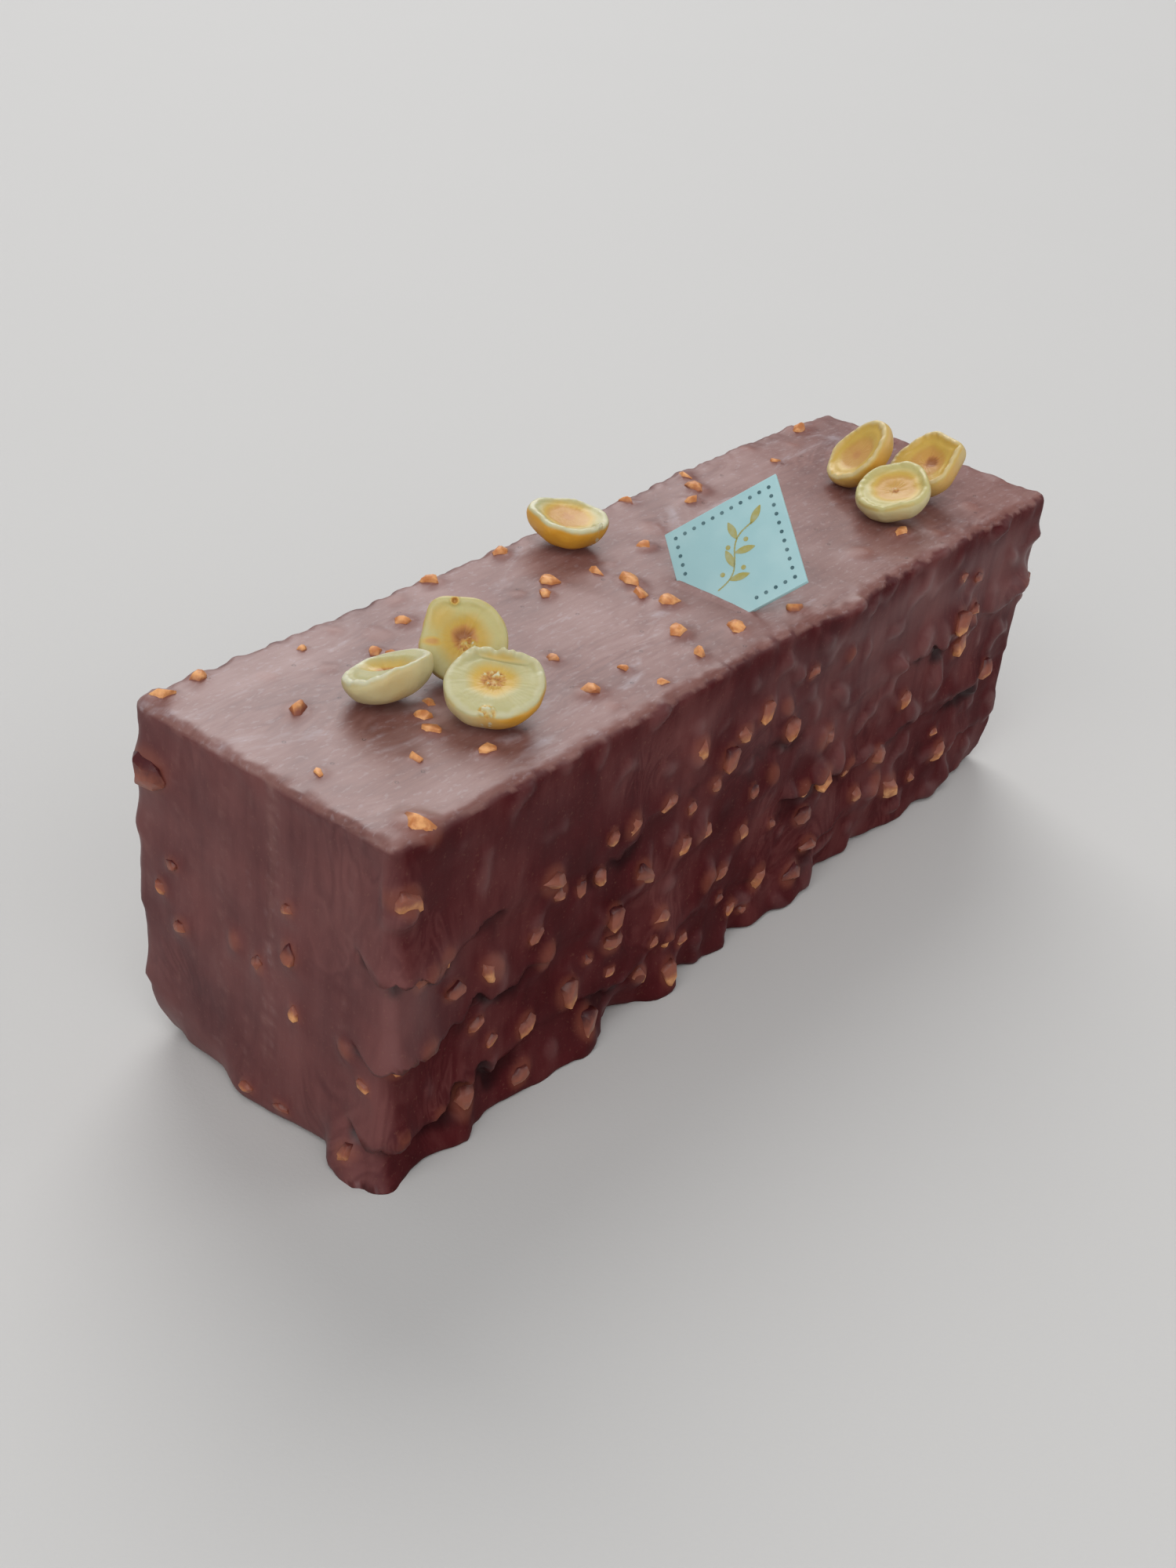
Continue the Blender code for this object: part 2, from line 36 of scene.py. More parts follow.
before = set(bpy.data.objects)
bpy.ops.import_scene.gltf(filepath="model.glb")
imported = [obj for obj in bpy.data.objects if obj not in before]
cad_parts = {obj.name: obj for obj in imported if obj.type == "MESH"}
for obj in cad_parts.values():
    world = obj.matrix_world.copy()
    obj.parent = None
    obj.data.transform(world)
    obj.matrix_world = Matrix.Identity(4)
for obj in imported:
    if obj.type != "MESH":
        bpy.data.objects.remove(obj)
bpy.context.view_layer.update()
mm = 0.001


# Small tools for modelling

def pickOnly(obj):
    bpy.ops.object.select_all(action="DESELECT")
    obj.select_set(True)
    bpy.context.view_layer.objects.active = obj


def getPoints(mesh):
    flat = np.empty(len(mesh.vertices) * 3, np.float32)
    mesh.vertices.foreach_get("co", flat)
    return flat.reshape(-1, 3).astype(float)


def setPoints(mesh, points):
    mesh.vertices.foreach_set("co", np.asarray(points, np.float32).ravel())
    mesh.update()


def setValues(mesh, name, values):  # a number for each corner point, which a material can read
    found = mesh.attributes.get(name) or mesh.attributes.new(name, "FLOAT", "POINT")
    found.data.foreach_set("value", np.asarray(values, np.float32))


def getValues(mesh, name):
    flat = np.empty(len(mesh.vertices), np.float32)
    mesh.attributes[name].data.foreach_get("value", flat)
    return flat


def pickParts(obj, kind, chosen):  # selects faces, edges or vertices by a list of yes and no
    bpy.ops.object.mode_set(mode="OBJECT")
    mesh = obj.data
    kinds = ("vertices", "edges", "polygons")
    bpy.context.tool_settings.mesh_select_mode = tuple(each == kind for each in kinds)
    for each in kinds:
        getattr(mesh, each).foreach_set("select", np.zeros(len(getattr(mesh, each)), bool))
    getattr(mesh, kind).foreach_set("select", np.asarray(chosen, bool))
    bpy.ops.object.mode_set(mode="EDIT")


def useModifier(obj, kind, **settings):
    pickOnly(obj)
    made = obj.modifiers.new(kind.lower(), kind)
    for name, value in settings.items():
        setattr(made, name, value)
    bpy.ops.object.modifier_apply(modifier=made.name)


def joinAll(pieces):
    bpy.ops.object.select_all(action="DESELECT")
    for piece in pieces:
        piece.select_set(True)
    bpy.context.view_layer.objects.active = pieces[0]
    bpy.ops.object.join()
    return pieces[0]


def smoothStep(low, high, value):
    share = min(1.0, max(0.0, (value - low) / (high - low)))
    return share * share * (3 - 2 * share)


def band(value, start, full, stay, end):  # 0 before start, 1 from full to stay, 0 again after end
    return smoothStep(start, full, value) * (1 - smoothStep(stay, end, value))


def atEnds(value, full, end, start, fullAgain):  # the reverse: 1 before and after, 0 between end and start
    return max(1 - smoothStep(full, end, value), smoothStep(start, fullAgain, value))


def handIn(obj, name, material, replaced=()):  # names a finished piece and gives it to the frame
    obj.name = name
    obj.data.name = name
    obj.data.materials.clear()
    obj.data.materials.append(material)
    for node in replaced:
        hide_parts(node)
    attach(obj, "root")
    return obj


# Shader maths

class Wire:  # one output of a shader node, so that maths on it reads as plain sums
    def __init__(self, shop, socket):
        self.shop = shop
        self.socket = socket

    def __add__(self, other):
        return self.shop.maths("ADD", self, other)

    def __sub__(self, other):
        return self.shop.maths("SUBTRACT", self, other)

    def __mul__(self, other):
        return self.shop.maths("MULTIPLY", self, other)

    def __truediv__(self, other):
        return self.shop.maths("DIVIDE", self, other)

    def __radd__(self, other):
        return self.shop.maths("ADD", other, self)

    def __rsub__(self, other):
        return self.shop.maths("SUBTRACT", other, self)

    def __rmul__(self, other):
        return self.shop.maths("MULTIPLY", other, self)

    def rise(self, low, high):  # 0 below low, 1 above high, smooth between
        values = {"Value": self, "From Min": low, "From Max": high}
        return self.shop.node("MapRange", {"interpolation_type": "SMOOTHSTEP"}, values)


class Shop:  # builds one material
    def __init__(self, name):
        self.material = bpy.data.materials.new(name)
        self.material.use_nodes = True
        self.tree = self.material.node_tree
        self.shader = self.tree.nodes["Principled BSDF"]

    def plug(self, socket, value):
        if isinstance(value, Wire):
            self.tree.links.new(value.socket, socket)
        else:
            socket.default_value = value

    def node(self, kind, settings=None, values=None, out=0):
        made = self.tree.nodes.new("ShaderNode" + kind)
        for name, value in (settings or {}).items():
            if name == "stops":
                setStops(made.color_ramp, value)
            else:
                setattr(made, name, value)
        for name, value in (values or {}).items():
            self.plug(made.inputs[name], value)
        return Wire(self, made.outputs[out])

    def mixColour(self, share, first, second, blend="MIX"):
        return self.node(
            "Mix", {"data_type": "RGBA", "blend_type": blend}, {0: share, 6: first, 7: second}, out=2
        )

    def stretched(self, along, scale):  # object coordinates in millimetres, squeezed along some axes
        place = self.node("TexCoord", out="Object")
        return self.node("VectorMath", {"operation": "MULTIPLY"}, {0: place, 1: Vector(along) / mm / scale})

    def noise(self, scale, along=(1, 1, 1), detail=2.0, roughness=0.5, distortion=0.0):
        values = {"Vector": self.stretched(along, scale), "Scale": 1.0, "Detail": detail}
        values.update({"Roughness": roughness, "Distortion": distortion})
        return self.node("TexNoise", None, values)

    def bumps(self, height, distance, strength=1.0, onto=None):  # height in the given distance, in mm
        values = {"Height": height, "Distance": distance * mm, "Strength": strength}
        if onto:
            values["Normal"] = onto
        return self.node("Bump", None, values)

    def height(self):  # millimetres above the floor
        return self.node("SeparateXYZ", None, {0: self.node("TexCoord", out="Object")}, out=2) / mm

    def maths(self, operation, first, second=0.0):
        return self.node("Math", {"operation": operation}, {0: first, 1: second})

    def attribute(self, name):
        return self.node("Attribute", {"attribute_name": name}, out="Fac")

    def finish(self, **values):
        for name, value in values.items():
            self.plug(self.shader.inputs[name.replace("_", " ")], value)
        return self.material


def setStops(ramp, stops):
    while len(ramp.elements) < len(stops):
        ramp.elements.new(1.0)
    for element, (place, colour) in zip(ramp.elements, stops):
        element.position = place
        element.color = colour


# The glazed loaf: the same sizes and relief as its solid, with a finer skin

loaf = {
    "length": 175.0,
    "width": 50.0,
    "height": 57.5,
    "uprightEdge": 2.1,  # roundness of its edges
    "topEdge": 1.4,
    "bottomEdge": 1.5,
    "topFrom": 0.7,  # what looks up more than this belongs to the top
    "dragDepth": 12.0,  # how far in from a wall its relief still moves the skin
    "waveLength": 24.0,  # slow waves in the glaze
    "sideWave": 0.65,
    "endWave": 0.52,
    "topWave": 0.3,
    "rippleLength": 9.0,
    "ripple": 0.28,
    "topRipple": 0.14,
    "foldPitch": 13.2,  # sagging folds across the long sides
    "foldCrease": 9.2,
    "foldDepth": 1.6,
    "foldWander": 3.4,
    "foldWanderLength": 30.0,
    "foldWanderHeight": 60.0,
    "foldRoundness": 1.4,
    "foldTuck": 0.16,
    "foldPatch": 21.0,
    "foldUsual": 0.55,
    "foldVaries": 0.9,
    "foldLeast": 0.12,
    "sideSeed": 5.0,
    "nearFolds": 0.8,
    "nearFoldsTo": -58.0,
    "foldTop": 47.0,
    "foldFade": 7.0,
    "footHeight": 11.0,  # where the glaze ran out on the tray
    "gapHeight": 9.0,
    "footCurve": 1.7,
    "backFootShift": 10,
    "tuckDepth": 2.6,
    "tuckHeight": 30.0,
    "tuckLength": 16.0,
    "farEndSwell": 0.9,
    "edgeBulgeAt": 18.0,
    "edgeBulgeHalf": 11.0,
    "edgeBulgeReach": 1.9,
    "edgeBulgeDrop": 15.0,
}
frontFoot = (
    (-84.9, 0.9), (-79.3, 0.9), (-71.5, 2.8), (-67.0, 0.6), (-60.5, 0.8), (-51.0, 1.7),
    (-46.5, 2.6), (-43.5, 3.3), (-39.0, 1.9), (-36.0, -0.8), (-33.0, -2.4), (-28.0, -0.4),
    (-24.5, 1.6), (-20.5, 2.0), (-16.5, -1.2), (-11.0, 0.5), (-5.0, 1.6), (-1.0, -1.1),
    (4.0, 1.6), (9.5, 1.2), (15.0, 2.2), (21.0, 1.5), (26.0, -2.1), (31.0, -0.6),
    (35.5, 0.2), (39.5, -1.6), (45.0, -0.2), (52.0, 0.4), (60.0, -0.2), (68.0, 0.5),
    (76.0, -0.6), (84.9, -1.8),
)
backFoot = tuple(
    (place, frontFoot[(i + loaf["backFootShift"]) % len(frontFoot)][1])
    for i, (place, _) in enumerate(frontFoot)
)
endFoot = (
    (-22.4, 0.8), (-20.0, 2.8), (-17.4, 2.5), (-14.0, -1.1), (-8.0, -0.9), (-3.0, 0.1),
    (2.0, 0.7), (8.5, -1.9), (15.0, -1.8), (22.4, -3.0),
)


def alongLine(line, place):
    if place <= line[0][0]:
        return line[0][1]
    for (start, first), (end, last) in zip(line, line[1:]):
        if place <= end:
            return first + (last - first) * smoothStep(start, end, place)
    return line[-1][1]


def footOf(reach, z):
    height = loaf["footHeight"] if reach > 0 else loaf["gapHeight"]
    return reach * max(0.0, 1 - z / height) ** loaf["footCurve"]


def foldAt(x, z, side):  # how deep the folds are, and how far up this is from a crease to the next
    seed = loaf["sideSeed"] * side
    wander = noise.noise(Vector((x / loaf["foldWanderLength"], seed, z / loaf["foldWanderHeight"])))
    level = (z - loaf["foldCrease"] + loaf["foldWander"] * wander) / loaf["foldPitch"]
    above = level - math.floor(level)
    patchy = noise.noise(Vector((x / loaf["foldPatch"], seed, z / loaf["foldPatch"])))
    patch = loaf["foldUsual"] + loaf["foldVaries"] * patchy
    patch += loaf["nearFolds"] * (1 - smoothStep(-loaf["length"] / 2, loaf["nearFoldsTo"], x))
    fade = 1 - smoothStep(loaf["foldTop"] - loaf["foldFade"], loaf["foldTop"], z)
    return loaf["foldDepth"] * max(loaf["foldLeast"], patch) * fade, above


def swellAt(x, z, side):
    depth, above = foldAt(x, z, side)
    return depth * (1 - above) ** loaf["foldRoundness"] * smoothStep(0.0, loaf["foldTuck"], above)


def wavesAt(point):
    slow = noise.noise(point / loaf["waveLength"])
    quick = noise.noise(point / loaf["rippleLength"] + Vector((7, 3, 1)))
    return slow, quick


def sideRelief(point, side):
    x, z = point.x, point.z
    slow, quick = wavesAt(point)
    line = frontFoot if side < 0 else backFoot
    out = loaf["sideWave"] * slow + loaf["ripple"] * quick + swellAt(x, z, side)
    out += footOf(alongLine(line, x), z)
    if side < 0:
        off = abs(x - loaf["edgeBulgeAt"]) / loaf["edgeBulgeHalf"]
        drop = smoothStep(loaf["height"] - loaf["edgeBulgeDrop"], loaf["height"] - loaf["topEdge"], z)
        out += loaf["edgeBulgeReach"] * drop * (1 - smoothStep(0, 1, off))
    else:
        fromEnd = smoothStep(0, loaf["tuckLength"], x + loaf["length"] / 2)
        out -= loaf["tuckDepth"] * (1 - fromEnd) * max(0.0, 1 - z / loaf["tuckHeight"])
    return out


def endRelief(point, end):
    slow, quick = wavesAt(point)
    reach = alongLine(endFoot, -end * point.y)
    swell = loaf["farEndSwell"] if end > 0 else 0
    return loaf["endWave"] * slow + loaf["ripple"] * quick + footOf(reach, point.z) + swell


def nearWall(place, half):
    near = smoothStep(half - loaf["dragDepth"], half - loaf["uprightEdge"], abs(place))
    return math.copysign(near, place)


def onLoaf(boxPoint):  # the place on the glazed loaf of a point on its plain box, and the way out
    length, width, height = loaf["length"], loaf["width"], loaf["height"]
    edge = loaf["bottomEdge"] if boxPoint.z < height / 2 else loaf["topEdge"]
    radii = Vector((loaf["uprightEdge"], loaf["uprightEdge"], edge))
    low = Vector((-length / 2, -width / 2, 0)) + radii
    high = Vector((length / 2, width / 2, height)) - radii
    core = Vector(min(max(boxPoint[i], low[i]), high[i]) for i in range(3))
    out = Vector((boxPoint[i] - core[i]) / radii[i] for i in range(3)).normalized()
    rounded = core + Vector(out[i] * radii[i] for i in range(3))
    slow, quick = wavesAt(rounded)
    atEnd = nearWall(boxPoint.x, length / 2)
    atSide = nearWall(boxPoint.y, width / 2)
    atTop = smoothStep(height - loaf["dragDepth"], height, rounded.z)
    shift = Vector((0, 0, atTop * (loaf["topWave"] * slow + loaf["topRipple"] * quick)))
    if atEnd:
        shift.x = atEnd * endRelief(rounded, math.copysign(1, atEnd))
    if atSide:
        shift.y = atSide * sideRelief(rounded, math.copysign(1, atSide))
    return rounded + shift, out


def faceOf(wayOut):
    return "top" if wayOut.z > loaf["topFrom"] else "wall"


# Chopped nuts: where each one lies. The rule and its draws are those of the solid

nuts = {
    "seed": 7,
    "strewn": {"front": 44, "back": 58, "end": 6, "farEnd": 15, "top": 28},
    "tries": 40,
    "fromEnds": 2.5,
    "fromFloor": 3.0,
    "toEdge": 1.5,
    "spacing": 4.3,
    "small": 1.9,
    "large": 4.1,
    "smallOnes": 1.6,
    "plump": (0.66, 0.5, 0.4),  # half axes as shares of the longest size
    "blockyBelow": 2.8,
    "jitter": 0.2,
    "tilt": 0.45,
    "bareBand": 8.0,
    "bareNear": 18.0,
    "bareNearTo": -25.0,
    "cornerNutShift": Vector((1.2, 1.9, 1.9)),  # the first one sits on the top's edge, and looks up and out
    "cornerNutOut": Vector((-0.1, -0.5, 0.86)),
}
looseBits = ((-57.9, -2.9, 2.3), (-61.4, -5.2, 2.7), (-51.4, 10.2, 2.2))  # small ones close to the halves
frontBits = (
    (-82.6, 55.6, 4.4), (-85.0, 48.8, 4.0), (-81.2, 34.6, 3.4), (-77.1, 35.4, 3.4), (-67.0, 28.6, 4.0),
    (-54.6, 37.6, 4.2), (-52.4, 34.6, 3.0), (-42.3, 32.2, 2.3), (-38.5, 23.4, 3.4), (-25.3, 16.8, 3.3),
    (-40.7, 38.7, 2.4), (-26.8, 38.6, 3.1), (-57.2, 29.2, 2.6), (-29.0, 7.5, 3.0), (-47.7, 13.7, 4.1),
    (-42.6, 5.6, 4.0), (-21.5, 4.4, 3.8), (-68.4, 18.9, 2.6), (-84.6, 20.7, 3.4), (-70.5, 6.9, 4.7),
    (-76.4, 7.6, 2.6), (-57.2, 12.6, 3.4), (-20.3, 45.6, 4.0), (-11.8, 40.5, 3.6), (-7.9, 43.4, 3.2),
    (-13.6, 36.2, 2.8), (-2.8, 45.5, 3.3), (-15.7, 28.2, 3.1), (-3.7, 22.8, 3.1), (18.1, 32.5, 3.8),
    (19.5, 24.0, 4.0), (28.9, 22.2, 3.4), (15.7, 17.5, 3.8), (39.6, 19.8, 4.0), (46.4, 10.6, 4.6),
    (63.2, 11.6, 3.8), (14.6, 6.2, 4.0),
)
topBits = (
    (-63.0, -8.4, 2.6), (-61.0, -16.8, 2.6), (-73.0, 7.9, 3.3), (-70.0, -11.9, 2.1), (-82.0, -5.8, 2.0),
    (-37.7, -15.9, 3.4), (-26.7, -21.0, 1.9), (-28.1, -14.9, 1.9), (-15.5, -19.2, 2.7), (-12.5, -13.5, 3.6),
    (-7.1, -1.6, 2.9), (-5.2, -6.2, 3.6), (-3.7, -18.5, 3.4), (9.2, -20.6, 2.9), (-42.6, 16.3, 3.0),
    (-84.2, 22.6, 3.4), (-77.3, 22.8, 3.0), (-60.3, 19.9, 1.9), (-29.5, 22.8, 3.2), (-13.3, 22.4, 3.1),
    (8.0, 8.8, 2.9), (48.5, -16.4, 3.8), (20.3, 22.6, 2.7), (-18.7, 8.2, 2.6),
)
endBits = (
    (21.6, 48.0, 6.0), (16.7, 34.0, 1.9), (18.4, 29.2, 2.1), (14.6, 24.3, 2.6), (-6.4, 38.4, 2.2),
    (-7.3, 31.6, 2.9), (-8.6, 22.0, 2.1), (-19.6, 4.4, 3.0),
)

# Hazelnut halves: (x, y, radius, tilt, way it tilts, pointed end, ovalness)
halves = (
    (-49.2, -1.2, 6.5, 51, -141, 128, 0.02),
    (-61.4, 1.9, 6.3, 20, 105, -40, 0.04),
    (-54.2, -11.3, 7.1, 17, -150, 70, 0.03),
    (-1.4, 18.0, 6.6, 8, -73, 110, 0.07),
    (59.9, 1.2, 6.6, 46, 143, 100, 0.04),
    (66.0, -9.2, 7.1, 42, 158, 60, 0.03),
    (52.9, -11.2, 6.7, 22, 162, 110, 0.02),
)

plaque = {
    "centre": Vector((7.35, -9.35, 62.9)),
    "up": Vector((0.676, 0.080, 0.7325)),
    "right": Vector((0.040, -0.996, 0.073)),
    "halfHeight": 15.5,
    "halfWidth": 13.7,
    "thickness": 0.8,
    "waterlineDown": 7.4,  # from its centre to where it enters the top
    "waterlineHalf": 7.0,
    "keepClear": 3.4,
    "edgeRound": 0.12,
}


def fromWaterline(point):  # how far a place on the top is from the plaque's line of entry
    start = plaque["centre"] - plaque["up"] * plaque["waterlineDown"]
    start -= plaque["right"] * plaque["waterlineHalf"]
    run = (plaque["right"] * 2 * plaque["waterlineHalf"]).to_2d()
    share = (point.to_2d() - start.to_2d()).dot(run) / run.length_squared
    nearest = start.to_2d() + run * min(1.0, max(0.0, share))
    return (point.to_2d() - nearest).length


def clearOfToppings(spot, size):
    for x, y, radius, *_ in halves:
        if math.hypot(spot.x - x, spot.y - y) < radius + size / 2:
            return False
    return fromWaterline(spot) > plaque["keepClear"]


def strewnBits():
    length, width, height = loaf["length"], loaf["width"], loaf["height"]
    places = {
        "front": lambda along, up: Vector((along, -width / 2, up)),
        "back": lambda along, up: Vector((along, width / 2, up)),
        "end": lambda along, up: Vector((-length / 2, along, up)),
        "farEnd": lambda along, up: Vector((length / 2, along, up)),
        "top": lambda along, across: Vector((along, across, height)),
    }
    draw = random.Random(nuts["seed"])
    bits = []

    def add(face, first, second, size, blocky):
        spot, wayOut = onLoaf(places[face](first, second))
        bits.append((spot, wayOut, size, blocky))

    for face, measured in (("front", frontBits), ("top", topBits), ("end", endBits)):
        for first, second, size in measured:
            add(face, first, second, size, size < nuts["blockyBelow"])
    for face, count in nuts["strewn"].items():
        run = width if face in ("end", "farEnd") else length
        for _ in range(count):
            for _ in range(nuts["tries"]):
                size = nuts["small"] + (nuts["large"] - nuts["small"]) * draw.random() ** nuts["smallOnes"]
                first = draw.uniform(-1, 1) * (run / 2 - nuts["fromEnds"])
                if face == "top":
                    across = 1 - 2 * draw.random() ** nuts["toEdge"]
                    second = across * (width / 2 - nuts["fromEnds"])
                else:
                    near = face == "front" and first < nuts["bareNearTo"]
                    bare = nuts["bareNear"] if near else nuts["bareBand"]
                    second = nuts["fromFloor"] + (height - bare - nuts["fromFloor"]) * draw.random()
                spot = onLoaf(places[face](first, second))[0]
                nearest = min((spot - other).length for other, *_ in bits)
                if nearest > nuts["spacing"] and (face != "top" or clearOfToppings(spot, size)):
                    add(face, first, second, size, True)
                    break
    return bits


def placedBits():  # each bit with the turn of its three half axes
    draw = random.Random(nuts["seed"])
    placed = []
    loose = [(*onLoaf(Vector((x, y, loaf["height"]))), size, True) for x, y, size in looseBits]
    for spot, wayOut, size, blocky in strewnBits() + loose:
        if not placed:
            spot, wayOut = spot + nuts["cornerNutShift"], nuts["cornerNutOut"].normalized()
        for _ in range(8 if blocky else 12):  # the draws that shape the solid's corners
            draw.uniform(-nuts["jitter"], nuts["jitter"])
        tilt = Matrix.Rotation(draw.uniform(-nuts["tilt"], nuts["tilt"]), 3, "X")
        spin = Matrix.Rotation(draw.uniform(0, math.pi), 3, "Z")
        turn = wayOut.to_track_quat("Z", "Y").to_matrix() @ spin @ tilt
        placed.append((spot, wayOut, size, turn))
    return placed


bits = placedBits()
print("chopped nuts placed:", len(bits))

# The coat

folds = {  # lips that hang over creases. Heights are shares of the way from one crease up to the next
    "lip": (0.0, 0.16, 0.16, 0.55),
    "lipDrop": 0.9,  # how far it hangs down, for each mm of the fold's depth
    "lipSwell": 0.3,
    "cut": (0.0, 0.1, 0.86, 1.0),
    "cutDepth": 0.5,  # how far the crease goes in behind the lip
    # painted shade, darkest at each crease and under its lip
    "dark": (0.03, 0.16, 0.76, 0.98),
    "darkFrom": (0.2, 1.3),  # depths, from where the painted shade in a crease starts to where it is darkest
    "wander": 0.3,  # how unevenly the lips hang
    "wanderLength": 8.0,
    "wanderSeed": 30,
    "brokenLength": 15.0,  # the folds come and go, but are whole near the seen corner
    "brokenHeight": 9.0,
    "brokenSeed": 8,
    "brokenTo": (-0.05, 0.35),
    "brokenEase": 0.6,  # how much of a fold is gone where it is broken
    "wholeTo": (-64.0, -48.0),
    "wholeDeeper": 0.6,  # and how much deeper they are there
    "wrapReach": 7.0,  # how far they run on round that corner
}
roof = {  # painted light: the top's glaze is made paler than the walls', as where more light falls
    "from": (0.45, 0.75),  # it starts where the skin turns up this much
    "paintedLightOverEnd": 0.42,  # it hangs lower over the seen end, a painted highlight on its rolled edge
    "ragged": {"end": 0.2, "side": 0.5},
    "raggedSizes": (2.6, 1.3),  # coarse and fine
    "raggedFine": 0.6,
}
shine = {  # how strong the coat's gloss is, and where: along the loaf, or by height. It also paints the walls' colour paler, a painted sheen
    "top": 0.74,
    "topNear": 0.24,  # more towards the seen end
    "topNearTo": (-80.0, -30.0),
    "topFarLess": 0.34,
    "topFarFrom": (20.0, 80.0),
    "end": 0.7,
    "side": 0.03,
    "far": (-30.0, 50.0),  # the long sides shine more from here on
    "upper": 0.3,  # below the top's edge
    "upperBand": (24.0, 46.0, 50.0, 56.0),
    "lobes": 0.15,
    "lobeSize": 9.0,
    "lobeFrom": (-0.05, 0.45),
    "lumps": 0.34,
    "lumpFrom": (0.03, 0.25),
    "corner": 0.7,  # a shiny lobe at the seen corner, also painted paler as a highlight
    "cornerTo": (-84.0, -68.0),
    "cornerHeight": 31.0,
    "cornerHalf": 11.0,
}
coat = {
    "cuts": ((2, 87), (75,), (86,)),  # equal cuts along X, Y and Z, one call after the other
    "streak": 0.07,  # soft runs down the walls
    "streakWidth": 3.4,
    "streakLength": 22.0,
    "streakSeed": 9.0,
    "lump": 1.9,  # nuts that lie wholly under the glaze of the long sides
    "lumpSize": 4.8,
    "lumpFarMore": 0.6,
    "lumpFar": (-20.0, 30.0),
    "edgeReach": 4.0,  # how far from the top's edges the glaze is uneven
    "edgeDepth": 0.45,
    "edgeSize": 3.4,
    "edgeFine": 0.6,
    "grainDepth": 0.035,
    "grainSize": 1.6,
    "film": {"wall": (0.45, 0.85), "top": (0.35, 0.65)},  # how much of a nut's height the glaze covers
    "sunk": {"wall": (0.9, 1.3), "top": (0.15, 0.35)},  # the same for a nut that lies under the glaze
    "sunkShare": {"wall": 0.25, "top": 0.6},  # how many of the nuts between the measured ones lie so
    "filmWidth": 1.12,  # in half widths of the nut
    "filmSteepness": 4,
    "filmReach": 2.2,  # in sizes of the nut
    "filmTail": 0.5,  # how much further it runs below the nut
    "filmTailFrom": (0, 1.2),
    "filmFacing": 0.3,  # skin that faces away from the nut's own way out stays down
    "veil": (0.7, 1.4),
    "footBead": 0.45,  # thin rim where the glaze met the tray
    "footBeadHeight": 0.9,
    "seatRise": 0.45,  # glaze drawn up round each half and the plaque
    "seatSpread": 3.2,
    "slotRise": 0.4,
    "slotSpread": 1.1,
}


def cutAlong(obj, axis, steps):  # cuts every edge that runs along one axis into equal lengths
    for cuts in steps:
        bpy.ops.object.mode_set(mode="OBJECT")
        ends = np.empty(len(obj.data.edges) * 2, np.int32)
        obj.data.edges.foreach_get("vertices", ends)
        points = getPoints(obj.data)
        run = np.abs(points[ends[0::2]] - points[ends[1::2]])
        pickParts(obj, "edges", run[:, axis] > 1e-7)
        bpy.ops.mesh.subdivide(number_cuts=cuts)
    bpy.ops.object.mode_set(mode="OBJECT")


def foldsFace(place, out):  # 1 on the long sides, and on the seen end close to its near corner
    around = 1 - smoothStep(0.0, folds["wrapReach"], place.y + loaf["width"] / 2)
    return max(abs(out.y), around * max(0.0, -out.x))


def hangFolds(place, out):  # the overhang of each fold over its crease, and how much painted shade goes in there
    side = math.copysign(1, place.y)
    depth, above = foldAt(place.x, place.z, side)
    uneven = Vector((place.x, side * folds["wanderSeed"], place.z)) / folds["wanderLength"]
    wander = noise.noise(uneven) + 0.5 * noise.noise(uneven * 2.7)
    above = (above + folds["wander"] * wander) % 1
    patch = (place.x / folds["brokenLength"], side * folds["brokenSeed"], place.z / folds["brokenHeight"])
    whole = 1 - smoothStep(*folds["wholeTo"], place.x) if side < 0 else 0
    shown = max(whole, smoothStep(*folds["brokenTo"], noise.noise(Vector(patch))))
    eased = folds["brokenEase"] * (1 - shown) * swellAt(place.x, place.z, side) * abs(out.y)
    depth *= foldsFace(place, out) * shown
    depth *= 1 + folds["wholeDeeper"] * whole
    hang = band(above, *folds["lip"])
    outwards = depth * (folds["lipSwell"] * hang - folds["cutDepth"] * atEnds(above, *folds["cut"])) - eased
    shade = atEnds(above, *folds["dark"]) * smoothStep(*folds["darkFrom"], depth)
    return out * outwards + Vector((0, 0, -folds["lipDrop"] * depth * hang)), shade


def roofAt(place, out):  # 1 in the top's paler glaze, which is painted light, 0 in the walls', with a ragged edge between
    coarse, fine = roof["raggedSizes"]
    ragged = noise.noise(Vector((place.x, place.y, 0)) / coarse)
    ragged += roof["raggedFine"] * noise.noise(place / fine)
    ragged *= roof["ragged"]["side" if abs(out.y) > abs(out.x) else "end"]
    level = out.z + roof["paintedLightOverEnd"] * abs(min(0.0, out.x)) + ragged
    return smoothStep(*roof["from"], level)


def lumpAt(place):  # how high the glaze stands over nuts that it hides, as a share
    there = max(0.0, noise.noise(place / coat["lumpSize"] + Vector((3, 9, 4)))) ** 2
    return there * (1 + coat["lumpFarMore"] * smoothStep(*coat["lumpFar"], place.x))


def sheenAt(place, out):  # how strongly the glaze shines: the top most, the ends, then parts of the sides; the walls are painted paler by it
    far = smoothStep(*shine["far"], place.x)
    lobes = smoothStep(*shine["lobeFrom"], noise.noise(place / shine["lobeSize"] + Vector((4, 1, 8))))
    fromCorner = abs(place.z - shine["cornerHeight"]) / shine["cornerHalf"]
    corner = (1 - smoothStep(*shine["cornerTo"], place.x)) * (1 - smoothStep(0.3, 1.0, fromCorner))
    side = shine["side"] + shine["corner"] * corner + shine["lobes"] * lobes * (0.4 + 0.6 * far)
    side += shine["upper"] * band(place.z, *shine["upperBand"]) * (0.4 + far if place.y < 0 else 0.5)
    side += shine["lumps"] * smoothStep(*shine["lumpFrom"], lumpAt(place))
    top = shine["top"] + shine["topNear"] * (1 - smoothStep(*shine["topNearTo"], place.x))
    top -= shine["topFarLess"] * smoothStep(*shine["topFarFrom"], place.x)
    return max(0.0, out.z) * top + abs(out.x) * shine["end"] + abs(out.y) * side


